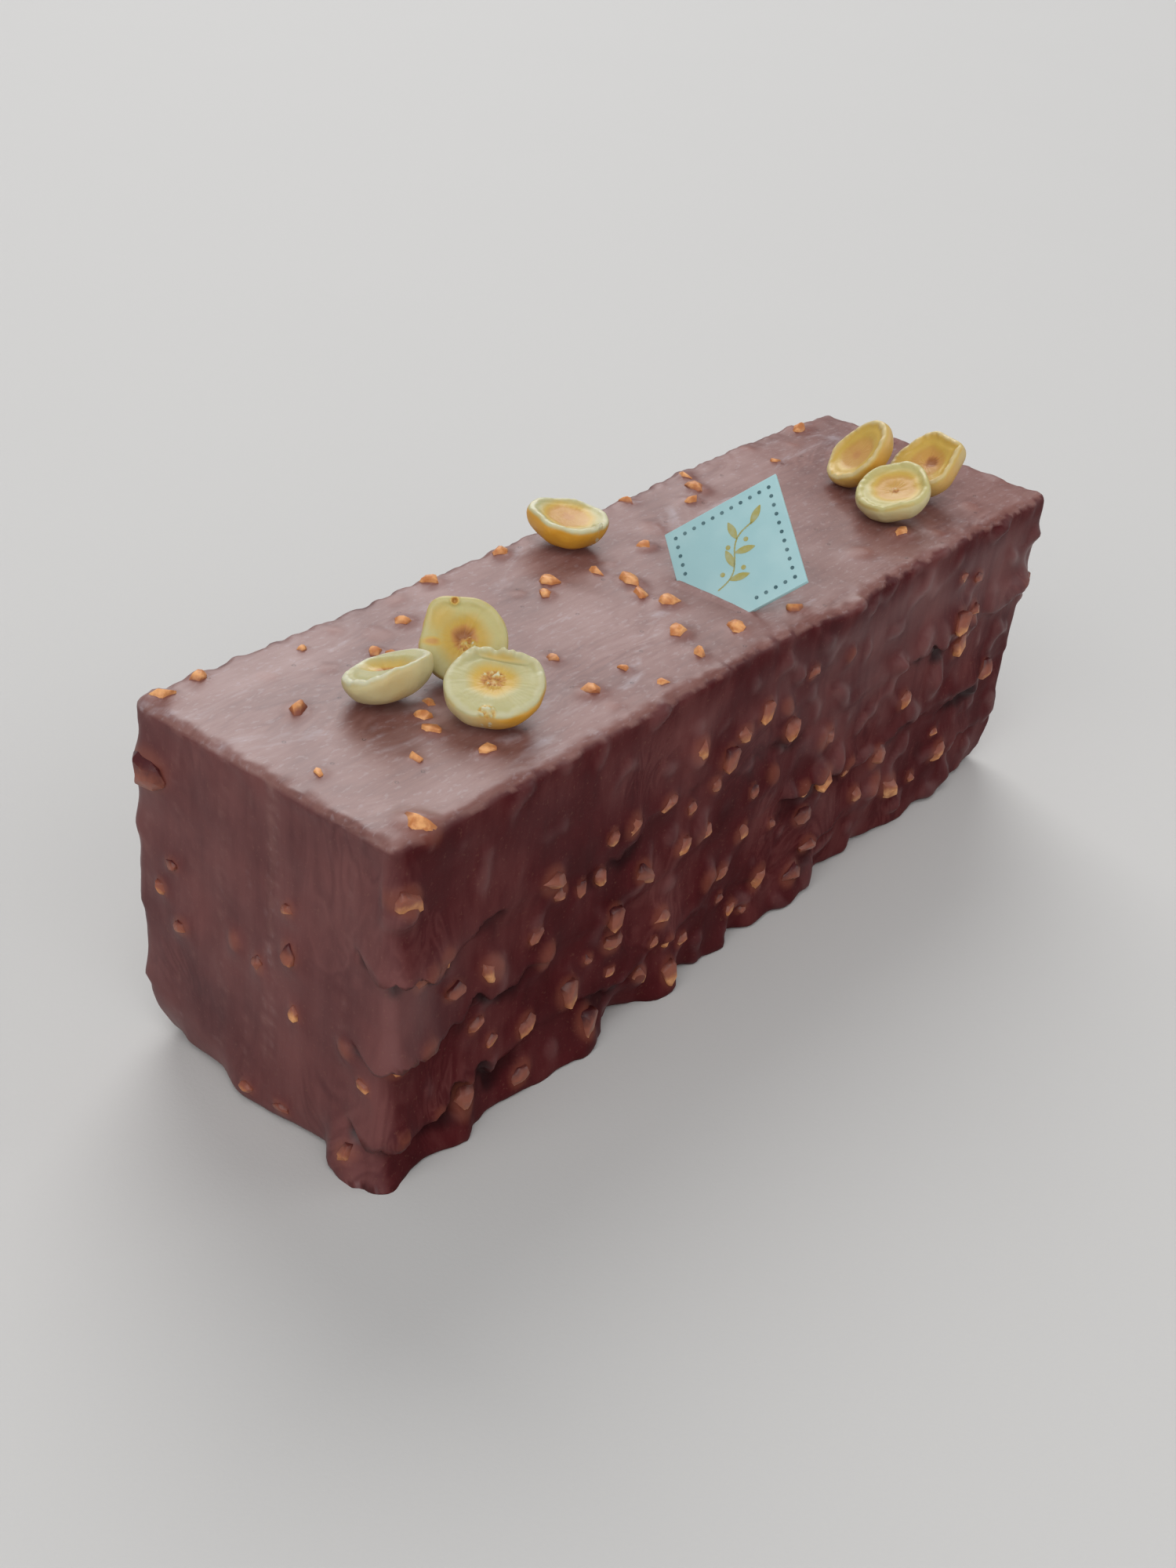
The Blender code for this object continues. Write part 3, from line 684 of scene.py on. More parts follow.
def edgeRelief(place):  # the glaze is uneven where it rolls over the top's edges
    fromWall = min(loaf["length"] / 2 - abs(place.x), loaf["width"] / 2 - abs(place.y))
    away = max(fromWall, loaf["height"] - place.z)
    near = 1 - smoothStep(0.0, coat["edgeReach"], away)
    if near == 0:
        return 0.0
    fine = coat["edgeFine"] * noise.noise(place * 2.3 / coat["edgeSize"])
    return coat["edgeDepth"] * near * (noise.noise(place / coat["edgeSize"]) + fine)


def fineRelief(place, out):  # what the glaze has that is too fine for the solid
    wall = max(abs(out.x), abs(out.y))
    across = place.x if abs(out.y) > abs(out.x) else place.y
    run = Vector((across / coat["streakWidth"], place.z / coat["streakLength"], coat["streakSeed"]))
    streak = coat["streak"] * noise.noise(run) * wall
    grain = coat["grainDepth"] * noise.noise(place / coat["grainSize"])
    bead = coat["footBead"] * wall * max(0.0, 1 - place.z / coat["footBeadHeight"]) ** 2
    lump = coat["lump"] * lumpAt(place) * abs(out.y)
    return streak + grain + bead + lump + edgeRelief(place)


def wrapBits():  # how far the glaze climbs each nut, as a share of its height, and whether the nut shows
    draw = random.Random(nuts["seed"] + 1)
    measured = len(frontBits) + len(topBits) + len(endBits)
    wraps = []
    for number, (_, wayOut, _, _) in enumerate(bits):
        lot, share = draw.random(), draw.random()
        placedByHand = number < measured or number >= len(bits) - len(looseBits)
        shows = placedByHand or lot >= coat["sunkShare"][faceOf(wayOut)]
        low, high = coat["film" if shows else "sunk"][faceOf(wayOut)]
        wraps.append((low + (high - low) * share, shows))
    return wraps


def coverBits(points, outs, wraps):  # lifts the skin round every nut, with a tail that ran down
    tree = kdtree.KDTree(len(points))
    for index, point in enumerate(points):
        tree.insert(point, index)
    tree.balance()
    rise = np.zeros(len(points))
    veil = np.zeros(len(points))
    for (spot, wayOut, size, turn), (cover, _) in zip(bits, wraps):
        half = Vector(nuts["plump"]) * size
        for _, index, _ in tree.find_range(spot, coat["filmReach"] * size):
            if outs[index].dot(wayOut) < coat["filmFacing"]:
                continue
            off = turn.transposed() @ (points[index] - spot)
            below = (spot.z - points[index].z) / size * (1 - abs(wayOut.z))
            spread = math.hypot(off.x / half.x, off.y / half.y)
            veil[index] = max(veil[index], 1 - smoothStep(*coat["veil"], spread))
            spread /= 1 + coat["filmTail"] * smoothStep(*coat["filmTailFrom"], below)
            fall = 1 + (spread / coat["filmWidth"]) ** coat["filmSteepness"]
            rise[index] = max(rise[index], cover * half.z / fall)
    return rise, veil


def drawUpSeats(points, outs, rise, contacts):  # the glaze is drawn up where toppings stand on it
    for index, point in enumerate(points):
        if faceOf(outs[index]) == "wall":
            continue
        for x, y in contacts:
            away = math.hypot(point.x - x, point.y - y) / coat["seatSpread"]
            if away < 1:
                rise[index] = max(rise[index], coat["seatRise"] * (1 - away * away) ** 2)
        away = fromWaterline(point) / coat["slotSpread"]
        if away < 1:
            rise[index] = max(rise[index], coat["slotRise"] * (1 - away * away))


def withinBox(points):  # keeps what stands out furthest inside the solid's own box
    low, high = (np.array(corner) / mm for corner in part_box("glazed_cake"))
    return np.clip(points, low, high)


def makeCoat(contacts, wraps):
    length, width, height = loaf["length"] * mm, loaf["width"] * mm, loaf["height"] * mm
    bpy.ops.object.select_all(action="DESELECT")
    bpy.ops.mesh.primitive_cube_add(size=1, location=(0, 0, height / 2), scale=(length, width, height))
    made = bpy.context.object
    bpy.ops.object.transform_apply(location=True, rotation=True, scale=True)
    for axis, steps in enumerate(coat["cuts"]):
        cutAlong(made, axis, steps)
    outs, points, creaseShades, roofs, sheens = [], [], [], [], []
    for boxPoint in getPoints(made.data) / mm:
        place, out = onLoaf(Vector(boxPoint))
        hang, crease = hangFolds(place, out)
        creaseShades.append(crease)
        roofs.append(roofAt(place, out))
        sheens.append(sheenAt(place, out))
        place = place + out * fineRelief(place, out) + hang
        place.z = max(0.0, place.z)
        outs.append(out)
        points.append(place)
    rise, veil = coverBits(points, outs, wraps)
    drawUpSeats(points, outs, rise, contacts)
    shaped = withinBox(np.array(points) + np.array(outs) * rise[:, None])
    setPoints(made.data, shaped * mm)
    for name, values in (("crease", creaseShades), ("veil", veil), ("roof", roofs), ("sheen", sheens)):
        setValues(made.data, name, values)
    under = [all(made.data.vertices[v].co.z < 1e-7 for v in face.vertices) for face in made.data.polygons]
    pickParts(made, "polygons", under)
    bpy.ops.mesh.dissolve_faces()
    bpy.ops.object.mode_set(mode="OBJECT")
    pickOnly(made)
    bpy.ops.object.shade_smooth()
    return made


# The chopped nuts: a few kinds are cut from a ball with flat strokes, then laid by the hundred

chips = {
    "kinds": 8,
    "seed": 31,
    "strokes": 9,
    "strokeNear": 0.42,  # how deep the strokes cut, as shares of the ball's radius
    "strokeFar": 0.78,
    "flatWithin": 24,  # facets that turn less than this become one
    "easedFrom": 20,  # sharper edges than this are eased
    "sharpFrom": 58,  # and those above this are shaded sharp
    "edgeRound": 0.15,
    "grow": {"wall": (0.95, 0.92, 1.15), "top": (0.84, 0.84, 1.2)},  # against the solid's, as a share
    "overSkin": {"wall": 0.04, "top": -0.02},  # how much further out they lie, as a share of size
    "bareOut": {"wall": 0.5, "top": 0.7},  # what looks outwards is barer
    "bareDown": 0.65,  # the glaze drained off their lower sides
    "bareVaries": 0.35,
    "bareEdge": 0.55,  # how ragged the edge of the glaze on them is
    "bareOnTop": 0.6,  # those on the top and on its edges are barer
    "bareOnTopHeights": (50, 56),
    "topHeights": (54.5, 57.0),
    "topGlazeHeights": (56.3, 57.2),
    "filmOnWall": 0.24,  # the walls' nuts all keep some glaze
    "largeFrom": 5.0,  # the largest keep most of it
    "largeCovered": 0.6,
}


def chipKind(draw):
    bpy.ops.object.select_all(action="DESELECT")
    bpy.ops.mesh.primitive_ico_sphere_add(subdivisions=2, radius=1)
    made = bpy.context.object
    bpy.ops.object.mode_set(mode="EDIT")
    for _ in range(chips["strokes"]):
        way = Vector(draw.gauss(0, 1) for _ in range(3)).normalized()
        at = way * draw.uniform(chips["strokeNear"], chips["strokeFar"])
        bpy.ops.mesh.select_all(action="SELECT")
        bpy.ops.mesh.bisect(plane_co=at, plane_no=way, use_fill=True, clear_outer=True)
    bpy.ops.mesh.select_all(action="SELECT")
    bpy.ops.mesh.dissolve_limited(angle_limit=math.radians(chips["flatWithin"]))
    bpy.ops.object.mode_set(mode="OBJECT")
    useModifier(made, "BEVEL", width=chips["edgeRound"], segments=1, limit_method="ANGLE",
                angle_limit=math.radians(chips["easedFrom"]))
    points = getPoints(made.data)
    low, high = points.min(0), points.max(0)
    filled = (points - (low + high) / 2) * 2 / (high - low)  # fills its box again after the strokes
    setPoints(made.data, filled)
    return made


def makeChips(wraps):
    draw = random.Random(chips["seed"])
    kinds = [chipKind(draw) for _ in range(chips["kinds"])]
    laid = []
    for (spot, wayOut, size, turn), (_, shows) in zip(bits, wraps):
        kind, varied = draw.choice(kinds), draw.uniform(-1, 1) * chips["bareVaries"]
        if not shows:
            continue
        where = faceOf(wayOut)
        mesh = kind.data.copy()
        unit = getPoints(mesh)
        half = np.array(nuts["plump"]) * size * chips["grow"][where]
        axes = np.array(turn)
        seat = np.array(spot) + np.array(wayOut) * size * chips["overSkin"][where]
        placed = withinBox(seat + (unit * half) @ axes.T)
        down = -(unit @ axes.T)[:, 2] * (1 - abs(wayOut.z))
        level = smoothStep(*chips["bareOnTopHeights"], spot.z) * chips["bareOnTop"]
        covered = chips["largeCovered"] if size > chips["largeFrom"] else 0
        bare = unit[:, 2] * chips["bareOut"][where] + chips["bareDown"] * down + level + varied - covered
        setPoints(mesh, placed * mm)
        setValues(mesh, "bare", bare)
        chip = bpy.data.objects.new("chip", mesh)
        bpy.context.scene.collection.objects.link(chip)
        laid.append(chip)
    for kind in kinds:
        bpy.data.objects.remove(kind)
    made = joinAll(laid)
    bpy.ops.object.shade_smooth_by_angle(angle=math.radians(chips["sharpFrom"]))
    return made


# The hazelnut halves

halfSection = (
    (0.0, 0.0), (0.3, 0.0), (0.6, 0.0), (0.86, 0.0), (0.96, -0.03), (1.0, -0.13),
    (0.97, -0.32), (0.86, -0.53), (0.65, -0.69), (0.35, -0.77), (0.0, -0.8),
)
halfTip = 0.09
halfTipSharpness = 5
# What is particular to each half, in shares of its radius. Angles run anticlockwise on the cut face
# from its own +X, and its own +Y is uphill.
# flats: (angle, reach); stretch: (across, up); lip: (angle, narrowness, height, crumbliness);
# dish and cavity: (x, y, half width, half length, depth, tone); nuggets: (x, y, radius, tone);
# stains: (x, y, half width, half length, tone); pit: (angle, distance); rise: (angle, height);
# amber: (angle, all over, more there)
halfUsual = {"stretch": (1.0, 1.0), "nuggets": (), "stains": (), "pit": None, "paleRim": 0.45}
halfLooks = (
    {
        "flats": ((172, 0.92), (92, 0.96)), "stretch": (1.03, 1.02), "lip": (80, 1, 0.03, 0.4),
        "dish": (0.0, 0.02, 0.74, 0.7, 0.06, 0.38), "cavity": (0.02, 0.06, 0.52, 0.52, 0.16, 1.15),
        "nuggets": ((0.12, -0.1, 0.22, 0.42),), "pit": (107, 0.86), "rise": (90, 0.0), "rays": 0.5,
        "stains": ((-0.62, -0.1, 0.34, 0.15, 0.6), (-0.45, 0.4, 0.5, 0.5, 0.3)),
        "amber": (150, 0.35, 0.4), "flesh": "butter", "paleRim": 0.25,
    },
    {
        "flats": ((52, 0.9),), "lip": (0, 1, 0.07, 0.3),
        "dish": (-0.1, -0.08, 0.46, 0.84, 0.13, 0.32), "cavity": (-0.12, -0.08, 0.26, 0.68, 0.1, 1.1),
        "stains": ((0.1, 0.75, 0.2, 0.2, 0.3),), "rise": (75, 0.2), "rays": 0.4,
        "amber": (40, 0.0, 0.35), "flesh": "cream", "paleRim": 0.9,
    },
    {
        "flats": ((89, 0.83), (-80, 0.95)), "stretch": (1.05, 1.0), "lip": (88, 2, 0.12, 0.8),
        "dish": (-0.02, 0.04, 0.6, 0.56, 0.035, 0.42), "cavity": (-0.03, 0.08, 0.42, 0.4, 0.07, 0.85),
        "nuggets": ((-0.03, 0.07, 0.28, 0.6), (0.04, -0.84, 0.2, 0.3)), "rise": (88, 0.04), "rays": 0.45,
        "stains": ((0.0, 0.64, 0.6, 0.07, 0.3),), "amber": (-40, 0.22, 0.75), "flesh": "cream",
    },
    {
        "flats": ((150, 0.95), (-120, 0.94)), "stretch": (0.95, 0.95), "lip": (180, 0, 0.025, 0.2),
        "dish": (-0.02, 0.05, 0.9, 0.86, 0.08, 0.6), "cavity": (0.02, 0.06, 0.76, 0.72, 0.02, 0.74),
        "nuggets": ((-0.1, -0.85, 0.18, 0.0),), "rise": (-60, 0.12), "rays": 0.1,
        "amber": (180, 0.85, 0.3), "flesh": "cream", "paleRim": 0.6,
    },
    {
        "flats": ((30, 0.93), (-140, 0.95)), "lip": (0, 0, 0.04, 0.0),
        "dish": (0.0, 0.0, 0.86, 0.84, 0.11, 0.58), "cavity": (0.0, -0.05, 0.66, 0.6, 0.03, 0.7),
        "rise": (120, 0.05), "rays": 0.06, "amber": (0, 0.5, 0.3), "flesh": "gold",
    },
    {
        "flats": ((20, 0.9), (92, 0.92), (164, 0.9)), "lip": (60, 0, 0.05, 0.0),
        "dish": (0.0, 0.0, 0.8, 0.8, 0.12, 0.58), "cavity": (0.08, 0.12, 0.44, 0.4, 0.07, 1.15),
        "rise": (60, 0.04), "rays": 0.1, "amber": (0, 0.35, 0.3), "flesh": "gold",
    },
    {
        "flats": ((60, 0.95), (-30, 0.94)), "stretch": (1.03, 1.03), "lip": (-30, 0, 0.04, 0.0),
        "dish": (0.0, 0.08, 0.84, 0.8, 0.11, 0.56), "cavity": (0.0, 0.08, 0.4, 0.38, 0.05, 0.72),
        "nuggets": ((0.02, 0.03, 0.12, 0.7),), "rise": (150, 0.05), "rays": 0.08,
        "amber": (120, 0.2, 0.5), "flesh": "butter", "paleRim": 0.2,
    },
)
halfRelief = {  # what all halves share. Bands are shares of the way from the middle out to the rim
    "segments": 32,
    "faceRings": 5,  # the rings of the section that lie on the cut face
    "lip": (0.76, 0.88, 0.93, 1.02),
    "ditch": (0.6, 0.72, 0.72, 0.84),
    "ditchDepth": 0.5,  # as a share of the lip's height
    "ray": 0.007,
    "raysFrom": (0.2, 0.5),
    "nugget": 0.035,
    "grain": 0.06,
    "waver": 0.035,
    "backWaver": 0.025,
    "rimGold": 0.24,
    "pitRim": 0.05,
    "pitRimTo": (0.06, 0.16),
    "pitDepth": 0.13,
    "pitTo": (0.03, 0.08),
    "pitTone": 0.6,
    "pitToneTo": (0.05, 0.13),
}


def leanOf(tilt, leansTo):  # turns a cut face that looks up until it tilts, its own +Y uphill
    slope, bearing = math.radians(tilt), math.radians(leansTo)
    aside = math.sin(slope)
    face = Vector((aside * math.cos(bearing), aside * math.sin(bearing), math.cos(slope)))
    uphill = (Vector((0, 0, 1)) - face * face.z).normalized()
    return Matrix((uphill.cross(face), uphill, face)).transposed()


def rimOf(angle, tipAt, oval, flats):  # the outline's reach at an angle, as a share of the radius
    fromTip = angle - math.radians(tipAt)
    reach = 1 + halfTip * max(0.0, math.cos(fromTip)) ** halfTipSharpness + oval * math.cos(2 * fromTip)
    for at, limit in flats:
        facing = math.cos(angle - math.radians(at))
        if facing > 0.3:
            reach = min(reach, limit / facing)
    return reach


def within(px, py, spot, soft):  # 1 inside an oval spot, 0 past its edge
    x, y, wide, long = spot[:4]
    return 1 - smoothStep(soft, 1.0, math.hypot((px - x) / wide, (py - y) / long))


def toward(angle, degrees, narrowness):  # 1 where an angle meets a bearing, less away from it
    return max(0.0, math.cos(angle - math.radians(degrees))) ** narrowness


def detailPoint(point, face, tipAt, oval, looks, shift):  # the shaped point, and how brown, pale and amber
    px, py, pz = point
    angle = math.atan2(py, px)
    away = math.hypot(px, py) / rimOf(angle, tipAt, oval, looks["flats"])
    around = Vector((math.cos(angle), math.sin(angle), 0)) * 1.7 + shift
    slow, sway, quick = (noise.noise(spot) for spot in (around, around + Vector((5, 5, 5)), around * 3.4))
    ray = looks["rays"] * noise.noise(around * 8 + Vector((0, 0, away)))
    ray *= smoothStep(*halfRelief["raysFrom"], away)
    dish = within(px + 0.07 * slow, py + 0.07 * sway, looks["dish"], 0.5)
    cavity = within(px + 0.05 * slow, py + 0.05 * quick, looks["cavity"], 0.05)
    onCut, inSpace = Vector((px, py, 0)), Vector((px, py, pz))
    grains = noise.cell(onCut * 13 + shift) * 0.6 + noise.noise(inSpace * 16 + shift)
    nugget, nuggetTone = 0.0, 0.0
    for x, y, wide, tone in looks["nuggets"]:
        nugget, nuggetTone = max((nugget, nuggetTone), (within(px, py, (x, y, wide, wide), 0.6), tone))
    lipAt, lipNarrow, lipHigh, lipCrumbly = looks["lip"]
    lipStart, lipFull, lipStay, lipEnd = halfRelief["lip"]
    lip = smoothStep(lipStart, lipFull, away + 0.05 * quick) * (1 - smoothStep(lipStay, lipEnd, away))
    ditch = halfRelief["ditchDepth"] * band(away, *halfRelief["ditch"])
    ragged = 0.8 + 0.8 * slow + 0.5 * quick + lipCrumbly * noise.noise(onCut * 8 + shift)
    lift = toward(angle, lipAt, lipNarrow) * lipHigh * (lip * ragged - ditch)
    lift -= looks["dish"][4] * dish + looks["cavity"][4] * cavity
    lift += halfRelief["ray"] * ray + nugget * (halfRelief["nugget"] + halfRelief["grain"] * grains)
    rimGold = halfRelief["rimGold"] * smoothStep(0.9, 1.0, away) * smoothStep(-0.3, 0.3, slow + quick)
    brown = max(rimGold, dish * looks["dish"][5], cavity * looks["cavity"][5]) * (1 + 0.35 * ray)
    brown += nugget * (nuggetTone - 0.4 * grains - brown)
    for stain in looks["stains"]:
        brown = max(brown, within(px + 0.05 * quick, py, stain, 0.2) * stain[4])
    if looks["pit"]:
        pitAt, pitOut = math.radians(looks["pit"][0]), looks["pit"][1]
        near = math.hypot(px - pitOut * math.cos(pitAt), py - pitOut * math.sin(pitAt))
        raised = halfRelief["pitRim"] * (1 - smoothStep(*halfRelief["pitRimTo"], near))
        lift += raised - halfRelief["pitDepth"] * (1 - smoothStep(*halfRelief["pitTo"], near))
        brown = max(brown, halfRelief["pitTone"] * (1 - smoothStep(*halfRelief["pitToneTo"], near)))
    riseAt, riseBy = looks["rise"]
    whole = halfRelief["waver"] * slow * smoothStep(0.5, 1.0, away)
    whole += riseBy * toward(angle, riseAt, 2) * away ** 3
    back = 1 + (1 - face) * halfRelief["backWaver"] * noise.noise(inSpace * 3 + shift)
    amberAt, amberAll, amberMore = looks["amber"]
    pale = max(face * lip * looks["paleRim"] * (1 - brown), nugget * max(0.0, grains - 0.2) * 1.5)
    shaped = (px * back * looks["stretch"][0], py * back * looks["stretch"][1], pz + face * lift + whole)
    return shaped, brown, pale, amberAll + amberMore * toward(angle, amberAt, 2)


def detailHalf(mesh, points, values, looks, number):
    radius, _, _, tipAt, oval = values[2:]
    shift = Vector((number * 13.7, number * 5.1, number * 9.3))  # so that no two halves are alike
    faces = getValues(mesh, "face")
    found = [
        detailPoint(point, face, tipAt, oval, looks, shift) for point, face in zip(points / radius, faces)
    ]
    for name, column in (("brown", 1), ("pale", 2), ("amber", 3)):
        setValues(mesh, name, [each[column] for each in found])
    return np.array([each[0] for each in found]) * radius


def makeHalf(number, values, looks):
    radius, tilt, leansTo, tipAt, oval = values[2:]
    rings = len(halfSection) - 1
    bpy.ops.object.select_all(action="DESELECT")
    bpy.ops.mesh.primitive_uv_sphere_add(segments=halfRelief["segments"], ring_count=rings, radius=1)
    made = bpy.context.object
    shaped, onFace = [], []
    for px, py, pz in getPoints(made.data):
        ring = round(math.acos(max(-1.0, min(1.0, pz))) / math.pi * rings)
        outwards, upwards = halfSection[ring]
        angle = math.atan2(py, px)
        reach = radius * rimOf(angle, tipAt, oval, looks["flats"]) * outwards
        shaped.append((reach * math.cos(angle), reach * math.sin(angle), upwards * radius))
        onFace.append(1.0 if ring < halfRelief["faceRings"] else 0.0)
    setPoints(made.data, shaped)
    setValues(made.data, "face", onFace)
    useModifier(made, "SUBSURF", levels=3, render_levels=3)
    turn = np.array(leanOf(tilt, leansTo))
    plain = getPoints(made.data)
    low, high = (np.array(corner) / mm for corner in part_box(f"hazelnut_half_{number}"))
    settled = plain @ turn.T
    middle = (settled.min(0) + settled.max(0)) / 2
    move = np.array(((low[0] + high[0]) / 2, (low[1] + high[1]) / 2, 0)) - middle
    move[2] = low[2] - settled[:, 2].min()
    placed = detailHalf(made.data, plain, values, looks, number) @ turn.T + move
    setPoints(made.data, placed * mm)
    pickOnly(made)
    bpy.ops.object.shade_smooth()
    lowest = placed[placed[:, 2].argmin()]
    return made, (lowest[0], lowest[1])


# The plaque: a thin lozenge with eased edges, and a made-up print of a sprig in a beaded border

printed = {
    "stand": 0.04,  # how far the print stands off the plaque
    "beadRadius": 0.33,
    "beadPitch": 1.7,
    "beadInset": 1.7,
    "stemFrom": -6.2,  # up the plaque, from its centre
    "stemTo": 6.4,
    "stemSway": 1.1,
    "stemWide": 0.3,
    "stemSteps": 24,
    "leafLong": 3.6,
    "leafWide": 1.3,
    "leafNarrows": 0.55,  # towards both ends, as a share
    "leafTilt": 52.0,  # away from the stem
    "leafPitch": 2.3,
    "topLeafDown": 0.3,
    "stemOverlap": 1.4,  # how much longer than its step each piece of the stem is
    "berryRadius": 0.42,
    "berryOut": 1.5,
    "berryUp": 0.5,
}


def plaqueTurn():
    up = plaque["up"].normalized()
    right = (plaque["right"] - up * plaque["right"].dot(up)).normalized()
    turn = Matrix((right, up, right.cross(up))).transposed().to_4x4()
    return Matrix.Translation(plaque["centre"] * mm) @ turn


def makePlaque():
    bpy.ops.object.select_all(action="DESELECT")
    bpy.ops.mesh.primitive_cylinder_add(vertices=4, radius=1, depth=plaque["thickness"] * mm)
    made = bpy.context.object
    points = getPoints(made.data)
    points[:, 0] *= plaque["halfWidth"] * mm
    points[:, 1] *= plaque["halfHeight"] * mm
    setPoints(made.data, points)
    useModifier(made, "BEVEL", width=plaque["edgeRound"] * mm, segments=3, limit_method="ANGLE")
    made.data.transform(plaqueTurn())
    pickOnly(made)
    bpy.ops.object.shade_smooth_by_angle(angle=math.radians(35))
    return made


def printDisc(across, up, wide, long=0.0, turn=0.0):  # a raised dot, or with a length a pointed leaf
    bpy.ops.object.select_all(action="DESELECT")
    bpy.ops.mesh.primitive_cylinder_add(vertices=16, radius=1, depth=printed["stand"] * mm * 2)
    made = bpy.context.object
    points = getPoints(made.data)
    if long:
        points[:, 0] *= wide / 2 * (1 - printed["leafNarrows"] * points[:, 1] ** 2)
        points[:, 1] = (points[:, 1] + 1) * long / 2
    else:
        points[:, :2] *= wide
    points[:, :2] *= mm
    setPoints(made.data, points)
    made.data.transform(Matrix.Translation(Vector((across, up, plaque["thickness"] / 2)) * mm)
                        @ Matrix.Rotation(math.radians(turn), 4, "Z"))
    return made


def joinPrint(pieces):
    made = joinAll(pieces)
    made.data.transform(plaqueTurn())
    return made


def makeBeads():  # one line of dots along the plaque's edges, down to where it enters the top
    long, wide = plaque["halfHeight"], plaque["halfWidth"]
    side = math.hypot(long, wide)
    inner = 1 - printed["beadInset"] * side / (long * wide)
    corners = [Vector(corner) * inner for corner in ((0, long), (wide, 0), (0, -long), (-wide, 0))]
    count = round(side * inner / printed["beadPitch"])
    beads = []
    for start, end in zip(corners, corners[1:] + corners[:1]):
        for step in range(count):
            spot = start.lerp(end, step / count)
            if spot.y > -plaque["waterlineDown"] + printed["beadInset"]:
                beads.append(printDisc(spot.x, spot.y, printed["beadRadius"]))
    return joinPrint(beads)


def stemAt(up):  # how far the stem sways to the side at a height
    share = (up - printed["stemFrom"]) / (printed["stemTo"] - printed["stemFrom"])
    return printed["stemSway"] * math.sin(2 * math.pi * share)


def makeSprig():
    low, high, steps = printed["stemFrom"], printed["stemTo"], printed["stemSteps"]
    leaf = (printed["leafWide"], printed["leafLong"])
    pieces = []
    for step in range(steps):
        up, after = (low + (high - low) * (step + more) / steps for more in (0, 1))
        lean = math.degrees(math.atan2(stemAt(up) - stemAt(after), after - up))
        run = math.hypot(stemAt(up) - stemAt(after), after - up)
        pieces.append(printDisc(stemAt(up), up, printed["stemWide"], run * printed["stemOverlap"], lean))
    up, way = low + printed["leafPitch"], 1
    while up < high - printed["leafPitch"] / 2:
        pieces.append(printDisc(stemAt(up), up, *leaf, -way * printed["leafTilt"]))
        berryAt = (stemAt(up) - way * printed["berryOut"], up + printed["berryUp"])
        pieces.append(printDisc(*berryAt, printed["berryRadius"]))
        up, way = up + printed["leafPitch"], -way
    pieces.append(printDisc(stemAt(high), high - printed["topLeafDown"], *leaf))
    return joinPrint(pieces)


# Materials

chocolate = {
    # (place in the marbling, colour)
    # painted light and shade: the walls' dark ramp and the top's pale one are a shaded and a lit copy of
    # one glaze
    "wall": (
        (0.33, (0.045, 0.0056, 0.0070, 1)),
        (0.5, (0.070, 0.0100, 0.0115, 1)),
        (0.78, (0.142, 0.041, 0.038, 1)),
    ),
    "roof": (
        (0.28, (0.125, 0.040, 0.033, 1)),
        (0.5, (0.205, 0.088, 0.074, 1)),
        (0.74, (0.285, 0.155, 0.140, 1)),
    ),
    "lines": 74.0,  # how many lines the marbling has
    "linesShow": 0.1,
    "drawnShow": {"roof": 0.36, "wall": 0.16},
    "sheenPainted": 0.22,  # painted sheen: the walls' colour is made paler where they shine
    "speck": (0.20, 0.09, 0.06, 1),
    "speckShare": 0.25,
    "sheenStreak": (0.46, 0.41, 0.44, 1),  # painted sheen: faint pale streaks on the top, a colour also given to its fine pale grain
    "sheenStreakShare": 0.4,
    "dustShare": 0.16,  # its fine pale grain
    # painted shade in the creases under the fold lips
    "crease": (0.016, 0.002, 0.003, 1),
    "creaseShadeShare": 0.92,
    "film": (0.25, 0.075, 0.045, 1),  # glaze so thin that the nut shows through
    "filmShare": 0.45,
    "filmLessOnTop": 0.15,
    "amber": (0.52, 0.19, 0.060, 1),
    "nut": (0.80, 0.40, 0.16, 1),
    "roughLow": 0.36,
    "roughHigh": 0.54,
    "wallRougher": 0.06,
    "filmSmoother": 0.06,
    "sheenStreakSmoother": 0.08,
    "specular": 0.03,
    "coatRoughness": 0.44,
}


def glazeTone(shop, onTop, sheenPainted=0.0):  # marbled chocolate, drawn out along the top and down the walls, with painted light: the top paler, and the walls paler where they shine
    alongTop = shop.noise(13.0, (0.35, 1, 1), detail=3, roughness=0.55, distortion=1.1)
    downWalls = shop.noise(15.0, (1, 1, 0.45), detail=3, roughness=0.55, distortion=1.3)
    flow = alongTop * onTop + downWalls * (1 - onTop)
    lines = shop.maths("SINE", flow * chocolate["lines"]) * 0.5 + 0.5
    patches = shop.noise(19.0, detail=1).rise(0.48, 0.68)
    cloud = shop.noise(14.0, detail=3, roughness=0.5)
    drawnAlong = shop.noise(1.2, (0.13, 1, 1), detail=4, roughness=0.65)
    drawnDown = shop.noise(1.5, (1, 1, 0.12), detail=3, roughness=0.6)
    marble = cloud * 0.6 + flow * 0.4 + (lines - 0.5) * patches * chocolate["linesShow"]
    wallPlace = marble + (drawnDown - 0.5) * chocolate["drawnShow"]["wall"] + sheenPainted
    roofPlace = marble + (drawnAlong - 0.5) * chocolate["drawnShow"]["roof"]
    onWalls = shop.node("ValToRGB", {"stops": chocolate["wall"]}, {"Fac": wallPlace})
    onRoof = shop.node("ValToRGB", {"stops": chocolate["roof"]}, {"Fac": roofPlace})
    speck = shop.noise(0.55, detail=2).rise(0.6, 0.78) * chocolate["speckShare"]
    tone = shop.mixColour(onTop, shop.mixColour(speck, onWalls, chocolate["speck"]), onRoof)
    return tone, lines * patches


